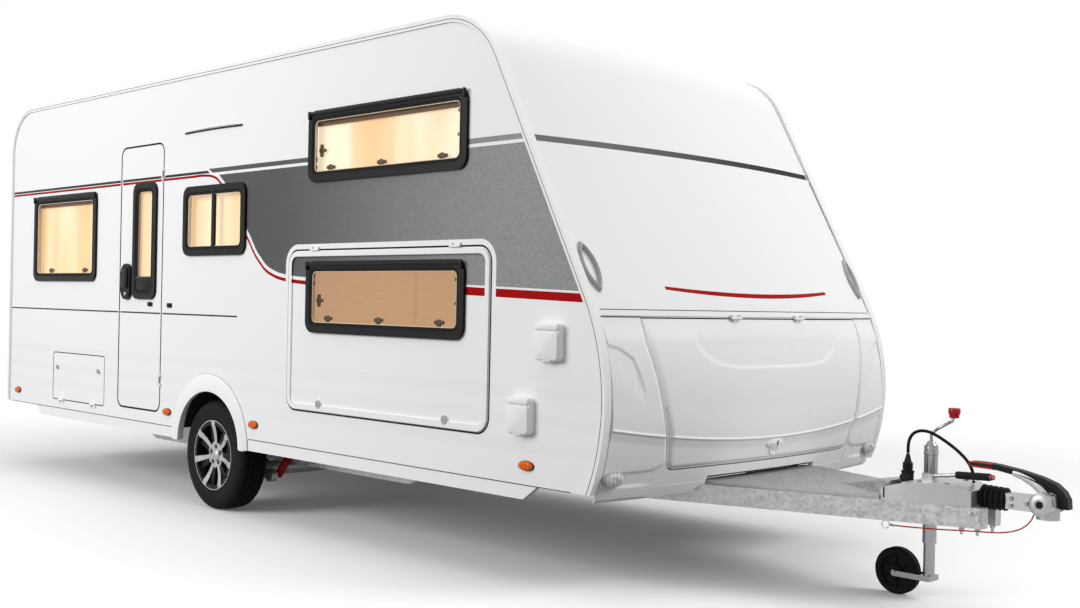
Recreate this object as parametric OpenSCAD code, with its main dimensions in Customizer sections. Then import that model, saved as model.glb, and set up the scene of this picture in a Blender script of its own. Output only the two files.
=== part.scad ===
// Single-axle travel caravan, parked on its road wheels and jockey wheel.
// Frame: +X forward to the coupling, +Y to the left, +Z up, origin on the ground at mid length.

/* [Body] */
// Length of the side walls
body_l = 6070; // [5900:10:6300]
// Width over the side walls
body_w = 2280; // [2240:10:2320]
// Height of the roof above the ground
roof_z = 2640; // [2600:10:2720]
// Height of the bottom edge of the walls
side_z = 462; // [452:2:472]
// Thickness of the walls, the roof and the doors
wall_t = 34; // [28:1:40]
// Thickness of the floor
floor_t = 45; // [35:1:55]
// Radius from the rear wall to the roof
rear_r = 330; // [250:10:380]
// Radius from the roof to the front slope
top_r = 420; // [350:10:480]
// Lean of the front slope from upright
slope_a = 28; // [26:1:30]
// Radius of the bulge below the front slope
bulge_r = 1000; // [960:10:1040]
// Height of the bulge's centre
bulge_z = 850; // [830:10:870]
// How far the front stands out at mid width
front_bow = 90; // [70:5:110]
// Gap round every door, flap and lid
door_gap = 6; // [5:0.5:8]
// Thickness of the rail along the body's edges
rail_t = 8; // [6:1:12]
// Width of the rail on the side walls
rail_w = 35; // [28:1:45]

/* [Openings] */
// Distance of the door from the rear
door_x = 1753; // [1740:1:1770]
// Width of the door
door_w = 556; // [540:1:570]
// Height of the door's lower edge
door_z = 542; // [530:1:555]
// Distance of the door's top below the roof
door_top = 406; // [395:1:450]
// Distance of the garage hatch from the rear
hatch_x = 3714; // [3690:1:3740]
// Distance of the garage hatch from the front
hatch_front = 719; // [700:1:750]
// Height of the hatch's lower edge
hatch_z = 664; // [650:1:680]
// Height of the hatch
hatch_h = 873; // [850:1:880]
// Distance of the service flap from the rear
flap_x = 775; // [750:1:800]
// Width of the service flap
flap_w = 785; // [750:1:820]
// Height of the flap's lower edge
flap_z = 522; // [510:1:540]
// Height of the service flap
flap_h = 337; // [310:1:350]
// Width of the cheek beside the gas locker lid's top
cheek_top_w = 270; // [250:1:300]
// Width of the cheek beside the gas locker lid's foot
cheek_foot_w = 400; // [380:1:440]
// Height of the lid's lower edge
lid_z = 550; // [540:1:570]
// Height of the lid's hinge
lid_hinge_z = 1222; // [1200:1:1240]
// Width of a window frame's face
frame_w = 36; // [28:1:44]
// How far a window frame stands out of the wall
frame_out = 16; // [10:1:20]
// Thickness of a double window pane
pane_t = 24; // [16:1:28]

/* [Wheels] */
// Distance of the axle from the rear
axle_x = 2900; // [2880:10:2920]
// Diameter of a tyre
tyre_d = 654; // [634:2:660]
// Width of a tyre
tyre_w = 195; // [185:1:205]
// Diameter of a rim's flange
rim_d = 416; // [400:2:426]
// How far a wheel's face lies inside the wall's face
wheel_in = 27; // [20:1:40]
// Number of spokes in a rim
spokes = 7; // [5:1:9]
// Radius of the stub axle
stub_r = 30; // [26:1:34]
// Radius of the arch in the side wall
arch_r = 357; // [350:1:362]
// Height of the arch's centre
arch_z = 395; // [390:1:400]
// Width of the trim round the arch
arch_w = 45; // [35:1:52]

/* [Drawbar] */
// Length from the side walls' front to the coupling's nose
drawbar_l = 1480; // [1460:10:1520]
// Distance of the chassis beams inside the walls' faces
beam_in = 390; // [370:5:410]
// Width of a chassis beam
beam_w = 50; // [40:1:60]
// Lowest height of the chassis beams
beam_z = 290; // [284:1:300]
// Depth of the drawbar's beams
bar_h = 87; // [75:1:95]
// Radius of the tow ball
ball_r = 25; // [24:0.5:26]
// Height of the tow ball's centre
ball_z = 470; // [460:1:480]
// Radius of the jockey's outer tube
jockey_r = 30; // [28:0.5:32]
// Diameter of the jockey wheel
jockey_d = 210; // [200:1:220]
// Distance of the jockey wheel behind its tube
jockey_trail = 150; // [140:1:160]
// Length of a corner steady
steady_l = 470; // [440:1:480]

/* [Hidden] */
$fn = 64;
fit = 0.3;
x_rear = -(body_l + drawbar_l) / 2;
x_front = x_rear + body_l;
x_nose = x_front + drawbar_l;
half_w = body_w / 2;
in_y = half_w - wall_t;
floor_z = side_z + floor_t;
x_axle = x_rear + axle_x;
x_bulge = x_front - bulge_r;
skin_d = rail_t + wall_t;
door_h = roof_z - door_top - door_z;
hatch_w = body_l - hatch_front - hatch_x;
lid_top_w = half_w - cheek_top_w;
lid_foot_w = half_w - cheek_foot_w;
beam_y = half_w - beam_in;
hinge_out = 10;
hinge_in = 2;
hinge_l = 72;
hinge_r = 6;
hinge_pin = 4;
hinge_end = 14;
leaf_l = 18;

// Centre of the arc between the roof and the front slope, which the slope touches
x_slope_foot = x_bulge + bulge_r * cos(slope_a);
z_slope_foot = bulge_z + bulge_r * sin(slope_a);
z_slope_top = roof_z - top_r + top_r * sin(slope_a);
x_slope_top = x_slope_foot - (z_slope_top - z_slope_foot) * tan(slope_a);
x_top = x_slope_top - top_r * cos(slope_a);

// The front panels turn about an upright axis, so that they bow in plan
plan_r = (in_y * in_y + front_bow * front_bow) / (2 * front_bow);
x_plan = x_front + front_bow - plan_r;
plan_a = asin(in_y / (plan_r - body_l / 4)) + 1;
panel_back = 40;

// The plain windows lie midway between the bumper and the roof's bend, the bunks' ones above the hatch
bumper_h = 560;
window_r = 62;
window_h = 609;
window_z = (side_z + bumper_h + roof_z - rear_r - window_h) / 2;
kitchen_rise = 157;
bunk_window_h = 382;
bunk_window_rear = 182;
bunk_window_front = 175;
bunk_window_rise = 428;
bunk_window_x = hatch_x + bunk_window_rear;
bunk_window_l = hatch_w - bunk_window_rear - bunk_window_front;
bunk_low = hatch_z + bunk_window_rise;
bunk_high = (hatch_z + hatch_h + roof_z - bunk_window_h) / 2;

// Windows of each side: distance from the rear, height of the lower edge, length, height
RIGHT_WINDOWS = [
    [441, window_z, 979, window_h],
    [2580, window_z + kitchen_rise, 697, 420],
    [bunk_window_x, bunk_high, bunk_window_l, bunk_window_h]];
LEFT_WINDOWS = [
    [441, window_z, 979, window_h],
    [1953, window_z, 979, window_h],
    [bunk_window_x, bunk_high, bunk_window_l, bunk_window_h],
    [bunk_window_x, bunk_low, bunk_window_l, bunk_window_h]];
sliding = 1;
rear_window_in = 580;
rear_window = [rear_window_in - half_w, window_z, 2 * (half_w - rear_window_in), window_h];
door_glass_in = 189;
door_glass_w = 300;
door_glass_low = 707;
door_glass_top = 240;
door_window = [door_x + door_glass_in, door_z + door_glass_low, door_glass_w,
    door_h - door_glass_low - door_glass_top];
hatch_window = [bunk_window_x, bunk_low, bunk_window_l, bunk_window_h];

function arc(c, r, a0, a1, n) =
    [for (i = [0:n]) let (a = a0 + (a1 - a0) * i / n) [c[0] + r * cos(a), c[1] + r * sin(a)]];

function reversed(p) = [for (i = [len(p) - 1:-1:0]) p[i]];

// Rounded rectangle from its lower corner
function rounded(x, z, l, h, r) = concat(
    arc([x + l - r, z + r], r, -90, 0, 6), arc([x + l - r, z + h - r], r, 0, 90, 6),
    arc([x + r, z + h - r], r, 90, 180, 6), arc([x + r, z + r], r, 180, 270, 6));

// The body's side outline, drawn in by d
function rear_arc(d) = arc([x_rear + rear_r, roof_z - rear_r], rear_r - d, 180, 90, 10);
function top_arc(d) = arc([x_top, roof_z - top_r], top_r - d, 90, slope_a, 8);
function bulge_arc(d, a0, a1, n) = arc([x_bulge, bulge_z], bulge_r - d, a0, a1, n);
function bulge_a(d, z) = asin((z - bulge_z) / (bulge_r - d));
function outline(d) = concat(
    [[x_rear + d, side_z]], rear_arc(d), top_arc(d),
    bulge_arc(d, slope_a, bulge_a(d, side_z), 14));

// A plate drawn in X and Z, from y0 to y1
module side_plate(y0, y1) {
    translate([0, y1, 0]) rotate([90, 0, 0]) linear_extrude(y1 - y0) children();
}

// A plate drawn in Y and Z, from x0 to x1
module cross_plate(x0, x1) {
    translate([x0, 0, 0]) rotate([90, 0, 90]) linear_extrude(x1 - x0) children();
}

// A rod along Y from y0 to y1
module rod_y(x, z, y0, y1, r) {
    translate([x, y1, z]) rotate([90, 0, 0]) cylinder(h = y1 - y0, r = r);
}

// A rod between two points
module rod(a, b, r) {
    d = b - a;
    translate(a) rotate([0, acos(d[2] / norm(d)), atan2(d[1], d[0])])
        cylinder(h = norm(d), r = r);
}

// A piece on both sides
module both_sides() {
    children();
    mirror([0, 1, 0]) children();
}

// Hinge about its own Z, with the wall at +X and the inside at +Y: the pin's side and the door's side
module hinge_fixed(depth = hinge_out + 1) {
    cylinder(h = hinge_l, r = hinge_pin, center = true);
    for (s = [-1, 1]) translate([0, 0, s * (hinge_l - hinge_end) / 2]) {
        cylinder(h = hinge_end, r = hinge_r, center = true);
        translate([0, 0, -hinge_end / 2]) cube([leaf_l, depth, hinge_end]);
    }
}
module hinge_moving(depth = hinge_out + 1) {
    l = hinge_l - 2 * hinge_end - 2;
    difference() {
        union() {
            cylinder(h = l, r = hinge_r, center = true);
            translate([-leaf_l, hinge_pin, -l / 2]) cube([leaf_l, depth - hinge_pin, l]);
        }
        cylinder(h = hinge_l, r = hinge_pin + fit, center = true);
    }
}
// Places of the hinges
x_door_hinge = x_rear + door_x + door_w - hinge_in;
y_side_hinge = -half_w - hinge_out;
z_hatch_hinge = hatch_z + hatch_h - hinge_in;
z_flap_hinge = flap_z + hinge_in;
z_lid_hinge = lid_hinge_z - hinge_in;
door_hinge_in = 200;
hatch_hinge_in = 250;
flap_hinge_in = 150;
lid_hinge_y = 260;
module at_door_hinges() {
    for (z = [door_z + door_hinge_in, door_z + door_h - door_hinge_in])
        translate([x_door_hinge, y_side_hinge, z]) children();
}
module at_hatch_hinges() {
    for (x = [hatch_x + hatch_hinge_in, hatch_x + hatch_w - hatch_hinge_in])
        translate([x_rear + x, y_side_hinge, z_hatch_hinge]) rotate([0, -90, 0]) children();
}
module at_flap_hinges() {
    for (x = [flap_x + flap_hinge_in, flap_x + flap_w - flap_hinge_in])
        translate([x_rear + x, y_side_hinge, z_flap_hinge]) rotate([0, 90, 0]) children();
}
module at_lid_hinges() {
    for (y = [-lid_hinge_y, lid_hinge_y])
        translate([front_x(0, z_lid_hinge, rail_t) + hinge_out, y, z_lid_hinge])
            rotate([0, -90, 0]) rotate([90, 0, 0]) children();
}

// A window's rectangle drawn in by d
module window_shape(w, d) {
    polygon(rounded(x_rear + w[0] + d, w[1] + d, w[2] - 2 * d, w[3] - 2 * d, window_r - d / 2));
}

// A rectangle on the side wall, grown by g
module side_shape(x, z, l, h, r, g) {
    polygon(rounded(x_rear + x - g, z - g, l + 2 * g, h + 2 * g, r + g));
}

// Face and pane of one window on the right wall, y_face being the wall's face
module frame_ring(w, y_face) {
    side_plate(y_face - frame_out, y_face) difference() {
        window_shape(w, 0);
        window_shape(w, frame_w);
    }
}
module pane_plate(w, y_face) {
    side_plate(y_face - frame_out / 2, y_face - frame_out / 2 + pane_t)
        window_shape(w, frame_w + fit);
}

// Floor, walls and roof
box_y = half_w - wheel_in - tyre_w - 30;
box_t = 12;
box_half = sqrt(pow(arch_r + box_t, 2) - pow(side_z - arch_z, 2)) + fit;
floor_short = 130;
floor_front = x_front - floor_short;
module floor() {
    color("tan") difference() {
        translate([x_rear + skin_d, -in_y, side_z])
            cube([floor_front - x_rear - skin_d, 2 * in_y, floor_t]);
        both_sides() translate([x_axle - box_half, box_y - box_t - fit, side_z - 1])
            cube([2 * box_half, half_w, floor_t + 2]);
    }
}

door_r = 60;
hatch_r = 80;
flap_r = 25;
module wheel_opening() { translate([x_axle, arch_z]) circle(r = arch_r); }
module wall_right() {
    color("white") {
        at_door_hinges() hinge_fixed();
        at_hatch_hinges() hinge_fixed();
        at_flap_hinges() hinge_fixed();
        right_plate();
    }
}
module right_plate() {
    side_plate(-half_w, -in_y) difference() {
        polygon(outline(rail_t));
        for (w = RIGHT_WINDOWS) window_shape(w, frame_w / 2);
        side_shape(door_x, door_z, door_w, door_h, door_r, 0);
        side_shape(hatch_x, hatch_z, hatch_w, hatch_h, hatch_r, 0);
        side_shape(flap_x, flap_z, flap_w, flap_h, flap_r, 0);
        wheel_opening();
    }
}
module wall_left() {
    color("white") mirror([0, 1, 0]) side_plate(-half_w, -in_y) difference() {
        polygon(outline(rail_t));
        for (w = LEFT_WINDOWS) window_shape(w, frame_w / 2);
        wheel_opening();
    }
}

r_joint = x_top + front_bow - x_plan - panel_back;
module roof() {
    color("white") intersection() {
        side_plate(-in_y, in_y) polygon(concat(
            rear_arc(rail_t),
            [[x_top + front_bow, roof_z - rail_t], [x_top + front_bow, roof_z - skin_d]],
            reversed(rear_arc(skin_d))));
        translate([x_plan, 0, 0]) cylinder(h = roof_z + 1, r = r_joint - fit, $fn = 128);
    }
}

module rear_shape(d) {
    polygon(rounded(rear_window[0] + d, rear_window[1] + d,
        rear_window[2] - 2 * d, rear_window[3] - 2 * d, window_r - d / 2));
}
module rear_wall() {
    color("white") cross_plate(x_rear + rail_t, x_rear + skin_d) difference() {
        translate([-in_y, side_z]) square([2 * in_y, roof_z - rear_r - side_z]);
        rear_shape(frame_w / 2);
    }
}

// A shell of the front, bowed in plan, from its profile in X and Z
module bowed(profile) {
    intersection() {
        translate([x_plan, 0, 0]) rotate([0, 0, -plan_a]) rotate_extrude(angle = 2 * plan_a, $fn = 256)
            polygon([for (p = profile) [p[0] + front_bow - x_plan, p[1]]]);
        translate([x_rear, -in_y, 0]) cube([body_l + drawbar_l, 2 * in_y, roof_z]);
    }
}
module front_panel() {
    color("white") {
        at_lid_hinges() hinge_fixed(hinge_out + mould_t);
        upper_front();
        hinge_strip();
    }
}
module upper_front() {
    bowed(concat(
        [[x_top - panel_back, roof_z - rail_t]], top_arc(rail_t),
        bulge_arc(rail_t, slope_a, bulge_a(rail_t, lid_hinge_z), 3),
        bulge_arc(skin_d, bulge_a(skin_d, lid_hinge_z), slope_a, 3), reversed(top_arc(skin_d)),
        [[x_top - panel_back, roof_z - skin_d]]));
}

// Strip above the gas locker lid's hinges
strip_h = 24;
strip_out = 5;
module hinge_strip() {
    z0 = lid_hinge_z + door_gap;
    z1 = z0 + strip_h;
    d0 = rail_t - strip_out;
    d1 = rail_t + 1;
    bowed(concat(bulge_arc(d0, bulge_a(d0, z1), bulge_a(d0, z0), 2),
        bulge_arc(d1, bulge_a(d1, z0), bulge_a(d1, z1), 2)));
}

// The lower front: cheeks and apron round the gas locker lid
mould_t = 25;
mould_d = rail_t + mould_t;
slot_w = 440;
slot_h = 38;
lamp_w = 116;
lamp_h = 60;
lamp_in = 100;
lamp_y = half_w - lamp_in;
lamp_z = 530;
module lower_front() {
    bowed(concat(
        bulge_arc(rail_t, bulge_a(rail_t, lid_hinge_z), bulge_a(rail_t, side_z), 12),
        bulge_arc(mould_d, bulge_a(mould_d, side_z), bulge_a(mould_d, lid_hinge_z), 12)));
}
lid_r = 50;
lid_square = 110;
module lid_shape(g) {
    z = lid_hinge_z + g - door_gap;
    polygon(concat(
        [[lid_top_w + g, z - lid_square], [lid_top_w + g, z],
            [-lid_top_w - g, z], [-lid_top_w - g, z - lid_square]],
        arc([-lid_foot_w + lid_r, lid_z + lid_r], lid_r + g, 180, 270, 6),
        arc([lid_foot_w - lid_r, lid_z + lid_r], lid_r + g, 270, 360, 6)));
}
module lamp_shape(g) {
    polygon(rounded(lamp_y - lamp_w / 2 - g, lamp_z - lamp_h / 2 - g, lamp_w + 2 * g, lamp_h + 2 * g,
        lamp_h / 2 - 1 + g));
}
module front_moulding() {
    color("whitesmoke") difference() {
        lower_front();
        cross_plate(x_bulge, x_nose) lid_shape(door_gap);
        translate([x_bulge, -slot_w, side_z - 1]) cube([drawbar_l + bulge_r, 2 * slot_w, slot_h + 1]);
        both_sides() cross_plate(x_bulge, x_nose) lamp_shape(fit);
    }
}
lock_z = 625;
lock_out = 8;
lid_lock_r = 26;
module gas_lid() {
    color("whitesmoke") {
        at_lid_hinges() hinge_moving(hinge_out + mould_t / 2);
        intersection() {
            lower_front();
            cross_plate(x_bulge, x_nose) lid_shape(0);
        }
        translate([front_x(0, lock_z, mould_d), 0, lock_z]) rotate([0, 90, 0])
            cylinder(h = mould_t + lock_out, r = lid_lock_r);
    }
}

// Partition behind the gas locker, with the shelf that closes it above
locker_l = 560;
bulkhead_t = 15;
x_bulkhead = x_front - locker_l;
module locker_bulkhead() {
    color("beige") intersection() {
        union() {
            translate([x_bulkhead, -in_y, floor_z])
                cube([bulkhead_t, 2 * in_y, lid_hinge_z + 2 * bulkhead_t - floor_z]);
            translate([x_bulkhead, -in_y, lid_hinge_z + bulkhead_t])
                cube([locker_l + front_bow, 2 * in_y, bulkhead_t]);
        }
        translate([x_plan, 0, 0]) cylinder(h = roof_z, $fn = 128,
            r = x_bulge + (bulge_r - skin_d) * cos(bulge_a(skin_d, lid_hinge_z + 2 * bulkhead_t))
                + front_bow - x_plan - 1);
    }
}

// Rails that cap the body's edges
rail_out = 6;
module ring_shape(d0, d1) { polygon(concat(outline(d0), reversed(outline(d1)))); }
module edge_rails() {
    color("gainsboro") both_sides() {
        side_plate(-half_w - rail_out, -in_y) ring_shape(0, rail_t);
        side_plate(-half_w - rail_out, -half_w) ring_shape(rail_t - 1, rail_w);
    }
}

// Skirts below the side walls, before and behind the wheel
skirt_t = 26;
skirt_in = 2;
skirt_h = 65;
skirt_lead = 90;
skirt_rear = 500;
skirt_front = 400;
module skirts() {
    trim_half = arch_r + arch_w + 2;
    color("white") both_sides() side_plate(-half_w + skirt_in, -half_w + skirt_in + skirt_t) {
        polygon([[x_rear + skirt_rear, side_z], [x_rear + skirt_rear + skirt_lead, side_z - skirt_h],
            [x_axle - trim_half, side_z - skirt_h], [x_axle - trim_half, side_z]]);
        polygon([[x_axle + trim_half, side_z], [x_axle + trim_half, side_z - skirt_h],
            [x_front - skirt_front - skirt_lead, side_z - skirt_h], [x_front - skirt_front, side_z]]);
    }
}

// Trims round the wheel arches, with a lip into the wall
trim_out = 10;
lip_t = 5;
module arch_ring(r0, r1) {
    intersection() {
        translate([x_axle, arch_z]) difference() {
            circle(r = r1);
            circle(r = r0);
        }
        translate([x_axle - 2 * r1, arch_z - lip_t]) square([4 * r1, 2 * r1]);
    }
}
module arch_trims() {
    color("white") both_sides() {
        side_plate(-half_w - trim_out, -half_w) arch_ring(arch_r - lip_t, arch_r + arch_w);
        side_plate(-half_w - 1, -in_y) arch_ring(arch_r - lip_t, arch_r - fit);
    }
}

// Black boxes over the wheels inside the body
module box_shape(r0, r1) {
    intersection() {
        translate([x_axle, arch_z]) difference() {
            circle(r = r1);
            if (r0 > 0) circle(r = r0);
        }
        translate([x_axle - 2 * r1, side_z]) square([4 * r1, 2 * r1]);
    }
}
module wheel_boxes() {
    color("black") both_sides() {
        side_plate(-in_y, -box_y) box_shape(arch_r, arch_r + box_t);
        side_plate(-box_y - 1, -box_y + box_t) box_shape(0, arch_r + box_t);
    }
}

// Furniture that shows through the windows: bunks, bed base, kitchen block, wardrobe
board_t = 20;
bunk_d = 800;
bunk_drop = 102;
bunk_zs = [bunk_low - bunk_drop, bunk_high - bunk_drop];
bunk_head = 340;
bunk_rear = 60;
bunk_front = 30;
bed_l = 1450;
bed_h = 420;
kitchen_x = 2520;
kitchen_l = 830;
kitchen_d = 550;
kitchen_h = 900;
wardrobe_x = 3375;
wardrobe_l = 460;
wardrobe_d = 600;
wardrobe_gap = 383;
// A cabinet of boards, open towards its wall
module cabinet(x, l, d, h) {
    translate([x_rear + x, -in_y, floor_z]) difference() {
        cube([l, d, h]);
        translate([board_t, -1, -1]) cube([l - 2 * board_t, d - board_t + 1, h - board_t + 1]);
    }
}
module furniture() {
    x0 = x_rear + hatch_x + bunk_rear;
    bunk_l = hatch_w - bunk_rear - bunk_front;
    color("burlywood") {
        for (x = [x0, x0 + bunk_l - board_t])
            translate([x, -in_y + board_t, floor_z]) cube([board_t, bunk_d, roof_z - bunk_head - floor_z]);
        for (z = bunk_zs)
            translate([x0 + board_t - 1, -in_y + board_t, z])
                cube([bunk_l - 2 * board_t + 2, bunk_d, board_t]);
        translate([x_rear + skin_d, -in_y, floor_z + bed_h - board_t]) cube([bed_l, 2 * in_y, board_t]);
        translate([x_rear + skin_d + bed_l - board_t, -in_y, floor_z]) cube([board_t, 2 * in_y, bed_h - 1]);
        cabinet(kitchen_x, kitchen_l, kitchen_d, kitchen_h);
        mirror([0, 1, 0])
            cabinet(wardrobe_x, wardrobe_l, wardrobe_d, roof_z - wardrobe_gap - floor_z);
    }
}

// Window frames, panes and the curtains inside
bar_w = 30;
module window_bar(w, g) {
    translate([x_rear + w[0] + w[2] / 2 - bar_w / 2 - g, w[1] + frame_w - 1])
        square([bar_w + 2 * g, w[3] - 2 * frame_w + 2]);
}
module window_frames() {
    color("black") {
        for (w = RIGHT_WINDOWS) frame_ring(w, -half_w);
        side_plate(-half_w - frame_out, -half_w) window_bar(RIGHT_WINDOWS[sliding], 0);
        mirror([0, 1, 0]) for (w = LEFT_WINDOWS) frame_ring(w, -half_w);
        cross_plate(x_rear + rail_t - frame_out / 2, x_rear + rail_t) difference() {
            rear_shape(0);
            rear_shape(frame_w);
        }
    }
}
module window_panes() {
    color("peru") {
        difference() {
            for (w = RIGHT_WINDOWS) pane_plate(w, -half_w);
            side_plate(-half_w - frame_out - 1, -half_w + pane_t)
                window_bar(RIGHT_WINDOWS[sliding], fit);
        }
        mirror([0, 1, 0]) for (w = LEFT_WINDOWS) pane_plate(w, -half_w);
        cross_plate(x_rear + rail_t - frame_out / 4, x_rear + rail_t - frame_out / 4 + pane_t)
            rear_shape(frame_w + fit);
    }
}
curtain_t = 10;
module curtain(w) {
    side_plate(-in_y, -in_y + curtain_t) window_shape(w, -curtain_t);
}
module curtains() {
    color("wheat") {
        for (w = RIGHT_WINDOWS) curtain(w);
        mirror([0, 1, 0]) for (w = LEFT_WINDOWS) curtain(w);
        cross_plate(x_rear + skin_d, x_rear + skin_d + curtain_t) rear_shape(-curtain_t);
    }
}

// Entrance door with its window, hinged on its front edge
module door_panel() {
    color("white") {
        at_door_hinges() hinge_moving();
        side_plate(-half_w, -in_y) difference() {
            side_shape(door_x, door_z, door_w, door_h, door_r, -door_gap);
            window_shape(door_window, frame_w / 2);
        }
    }
}
handle_in = 47;
handle_low = 702;
handle_w = 128;
handle_h = 233;
handle_out = 20;
grip_in = 26;
module door_handle() {
    x = x_rear + door_x + handle_in;
    z = door_z + handle_low;
    color("black") difference() {
        side_plate(-half_w - handle_out, -half_w)
            polygon(rounded(x, z, handle_w, handle_h, handle_w / 2 - 2));
        side_plate(-half_w - handle_out - 1, -half_w - handle_out / 2)
            polygon(rounded(x + grip_in, z + handle_h / 3, handle_w - 2 * grip_in, handle_h / 2, grip_in));
    }
}
module door_frame() { color("black") frame_ring(door_window, -half_w); }
module door_pane() { color("peru") pane_plate(door_window, -half_w); }

// Garage hatch with a raised border and the lower bunk's window, hinged at its top
border_w = 30;
border_out = 8;
border_in = door_gap + 4;
knob_in = 305;
knob_up = 47;
lock_r = 22;
module hatch_panel() {
    color("white") {
        at_hatch_hinges() hinge_moving();
        for (x = [hatch_x + knob_in, hatch_x + hatch_w - knob_in])
            rod_y(x_rear + x, hatch_z + knob_up, -half_w - border_out, -half_w + 1, lock_r);
        side_plate(-half_w, -in_y) difference() {
            side_shape(hatch_x, hatch_z, hatch_w, hatch_h, hatch_r, -door_gap);
            window_shape(hatch_window, frame_w / 2);
        }
        side_plate(-half_w - border_out, -half_w + 1) difference() {
            side_shape(hatch_x, hatch_z, hatch_w, hatch_h, hatch_r, -border_in);
            side_shape(hatch_x, hatch_z, hatch_w, hatch_h, hatch_r, -border_in - border_w);
        }
    }
}
module hatch_frame() { color("black") frame_ring(hatch_window, -half_w); }
module hatch_pane() { color("peru") pane_plate(hatch_window, -half_w); }

// Service flap, hinged at its foot
latch_in = 80;
latch_drop = 105;
latch_r = 16;
module service_flap() {
    color("white") {
        at_flap_hinges() hinge_moving();
        for (x = [flap_x + latch_in, flap_x + flap_w - latch_in])
            rod_y(x_rear + x, flap_z + flap_h - latch_drop, -half_w - border_out, -half_w + 1, latch_r);
        side_plate(-half_w, -in_y) side_shape(flap_x, flap_z, flap_w, flap_h, flap_r, -door_gap);
    }
}

// Amber lamps along the sides: by the rear, by both sides of the wheel and by the front
lamp_rear = 189;
lamp_by_wheel = 489;
lamp_front = 466;
LAMP_XS = [lamp_rear, axle_x - lamp_by_wheel, axle_x + lamp_by_wheel, body_l - lamp_front];
side_lamp_z = 530;
side_lamp_l = 84;
side_lamp_h = 40;
side_lamp_out = 13;
module side_lamps() {
    color("darkorange") both_sides() for (x = LAMP_XS)
        side_plate(-half_w - side_lamp_out, -half_w)
            polygon(rounded(x_rear + x - side_lamp_l / 2, side_lamp_z, side_lamp_l, side_lamp_h,
                side_lamp_h / 2 - 2));
}

// Clear lamps in the front corners
module front_lamps() {
    x = front_x(lamp_y, lamp_z, mould_d);
    color("lightgrey") both_sides() cross_plate(x, x + 2 * mould_t) lamp_shape(0);
}

// Rear lamp clusters, the bumper panel between them and the high-level lamp
cluster_w = 130;
cluster_h = 560;
cluster_z = 640;
cluster_out = rail_t;
high_lamp_w = 400;
high_lamp_h = 30;
high_lamp_drop = 60;
plate_w = 540;
plate_h = 140;
plate_rise = 150;
module rear_lamps() {
    color("firebrick") {
        both_sides() cross_plate(x_rear, x_rear + cluster_out)
            polygon(rounded(in_y - cluster_w - rail_w, cluster_z, cluster_w, cluster_h, 40));
        cross_plate(x_rear, x_rear + rail_t)
            polygon(rounded(-high_lamp_w / 2, roof_z - rear_r - high_lamp_drop,
                high_lamp_w, high_lamp_h, 12));
    }
}
module rear_bumper() {
    w = in_y - cluster_w - 2 * rail_w;
    color("whitesmoke") cross_plate(x_rear, x_rear + rail_t) difference() {
        polygon(rounded(-w, side_z, 2 * w, bumper_h, 60));
        polygon(rounded(-plate_w / 2, side_z + plate_rise, plate_w, plate_h, 15));
    }
}

// Grab handles at the front corners: rings between two arcs, flat on the slope
grab_in = 78;
grab_z = 1436;
grab_l = 250;
grab_w = 84;
grab_rim = 20;
grab_out = 30;
grab_tilt = 8;
function front_x(y, z, d) = x_plan + sqrt(pow(
    (z > z_slope_foot ? x_slope_foot - d / cos(slope_a) - (z - z_slope_foot) * tan(slope_a)
        : x_bulge + sqrt(pow(bulge_r - d, 2) - pow(z - bulge_z, 2)))
    + front_bow - x_plan, 2) - y * y);
module lens_shape(l, w) {
    r = (l * l + w * w) / (4 * w);
    intersection() {
        translate([0, r - w / 2]) circle(r = r, $fn = 128);
        translate([0, w / 2 - r]) circle(r = r, $fn = 128);
    }
}
module grab_handles() {
    y = half_w - grab_in;
    x = front_x(y, grab_z, rail_t);
    turn = atan2(y, x - x_plan);
    color("silver") both_sides() translate([x, y, grab_z]) rotate([0, 90 - slope_a, turn])
        rotate([0, 0, -grab_tilt]) translate([0, 0, fit]) linear_extrude(grab_out) difference() {
            lens_shape(grab_l, grab_w);
            lens_shape(grab_l - 4 * grab_rim, grab_w - 2 * grab_rim);
        }
}

// Roof lights: distance from the rear, size, and height
light_rear = 900;
light_front = 1770;
light_mid = 135;
ROOF_LIGHTS = [
    [light_rear, 400, 60], [body_l / 2 - light_mid, 700, 70], [body_l - light_front, 400, 60]];
module roof_lights() {
    color("ivory") for (q = ROOF_LIGHTS)
        translate([x_rear + q[0] - q[1] / 2, -q[1] / 2, roof_z - rail_t]) linear_extrude(q[2])
            polygon(rounded(0, 0, q[1], q[1], 50));
}

// Hooded boxes on the walls by the gas locker, two on the right and one on the left:
// distance behind the front, height, width, depth
SOCKETS = [[397, 1023, 149, 45], [563, 689, 141, 45]];
socket_h = 165;
module socket_box(q) {
    side_plate(-half_w - q[3], -half_w)
        polygon(rounded(x_front - q[0], q[1], q[2], socket_h, 22));
}
module socket_boxes() {
    color("white") {
        for (q = SOCKETS) socket_box(q);
        mirror([0, 1, 0]) socket_box(SOCKETS[1]);
    }
}

// Refrigerator vents on the left wall
vent_drop = 810;
VENTS = [[3320, 830, 480, 300], [3320, roof_z - vent_drop, 480, 300]];
vent_slots = 6;
vent_slot_h = 16;
vent_rim = 30;
vent_out = 12;
module vents() {
    color("white") mirror([0, 1, 0]) for (q = VENTS)
        side_plate(-half_w - vent_out, -half_w) difference() {
            polygon(rounded(x_rear + q[0], q[1], q[2], q[3], 20));
            for (k = [1:vent_slots])
                translate([x_rear + q[0] + vent_rim, q[1] + k * q[3] / (vent_slots + 1) - vent_slot_h / 2])
                    square([q[2] - 2 * vent_rim, vent_slot_h]);
        }
}

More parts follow.
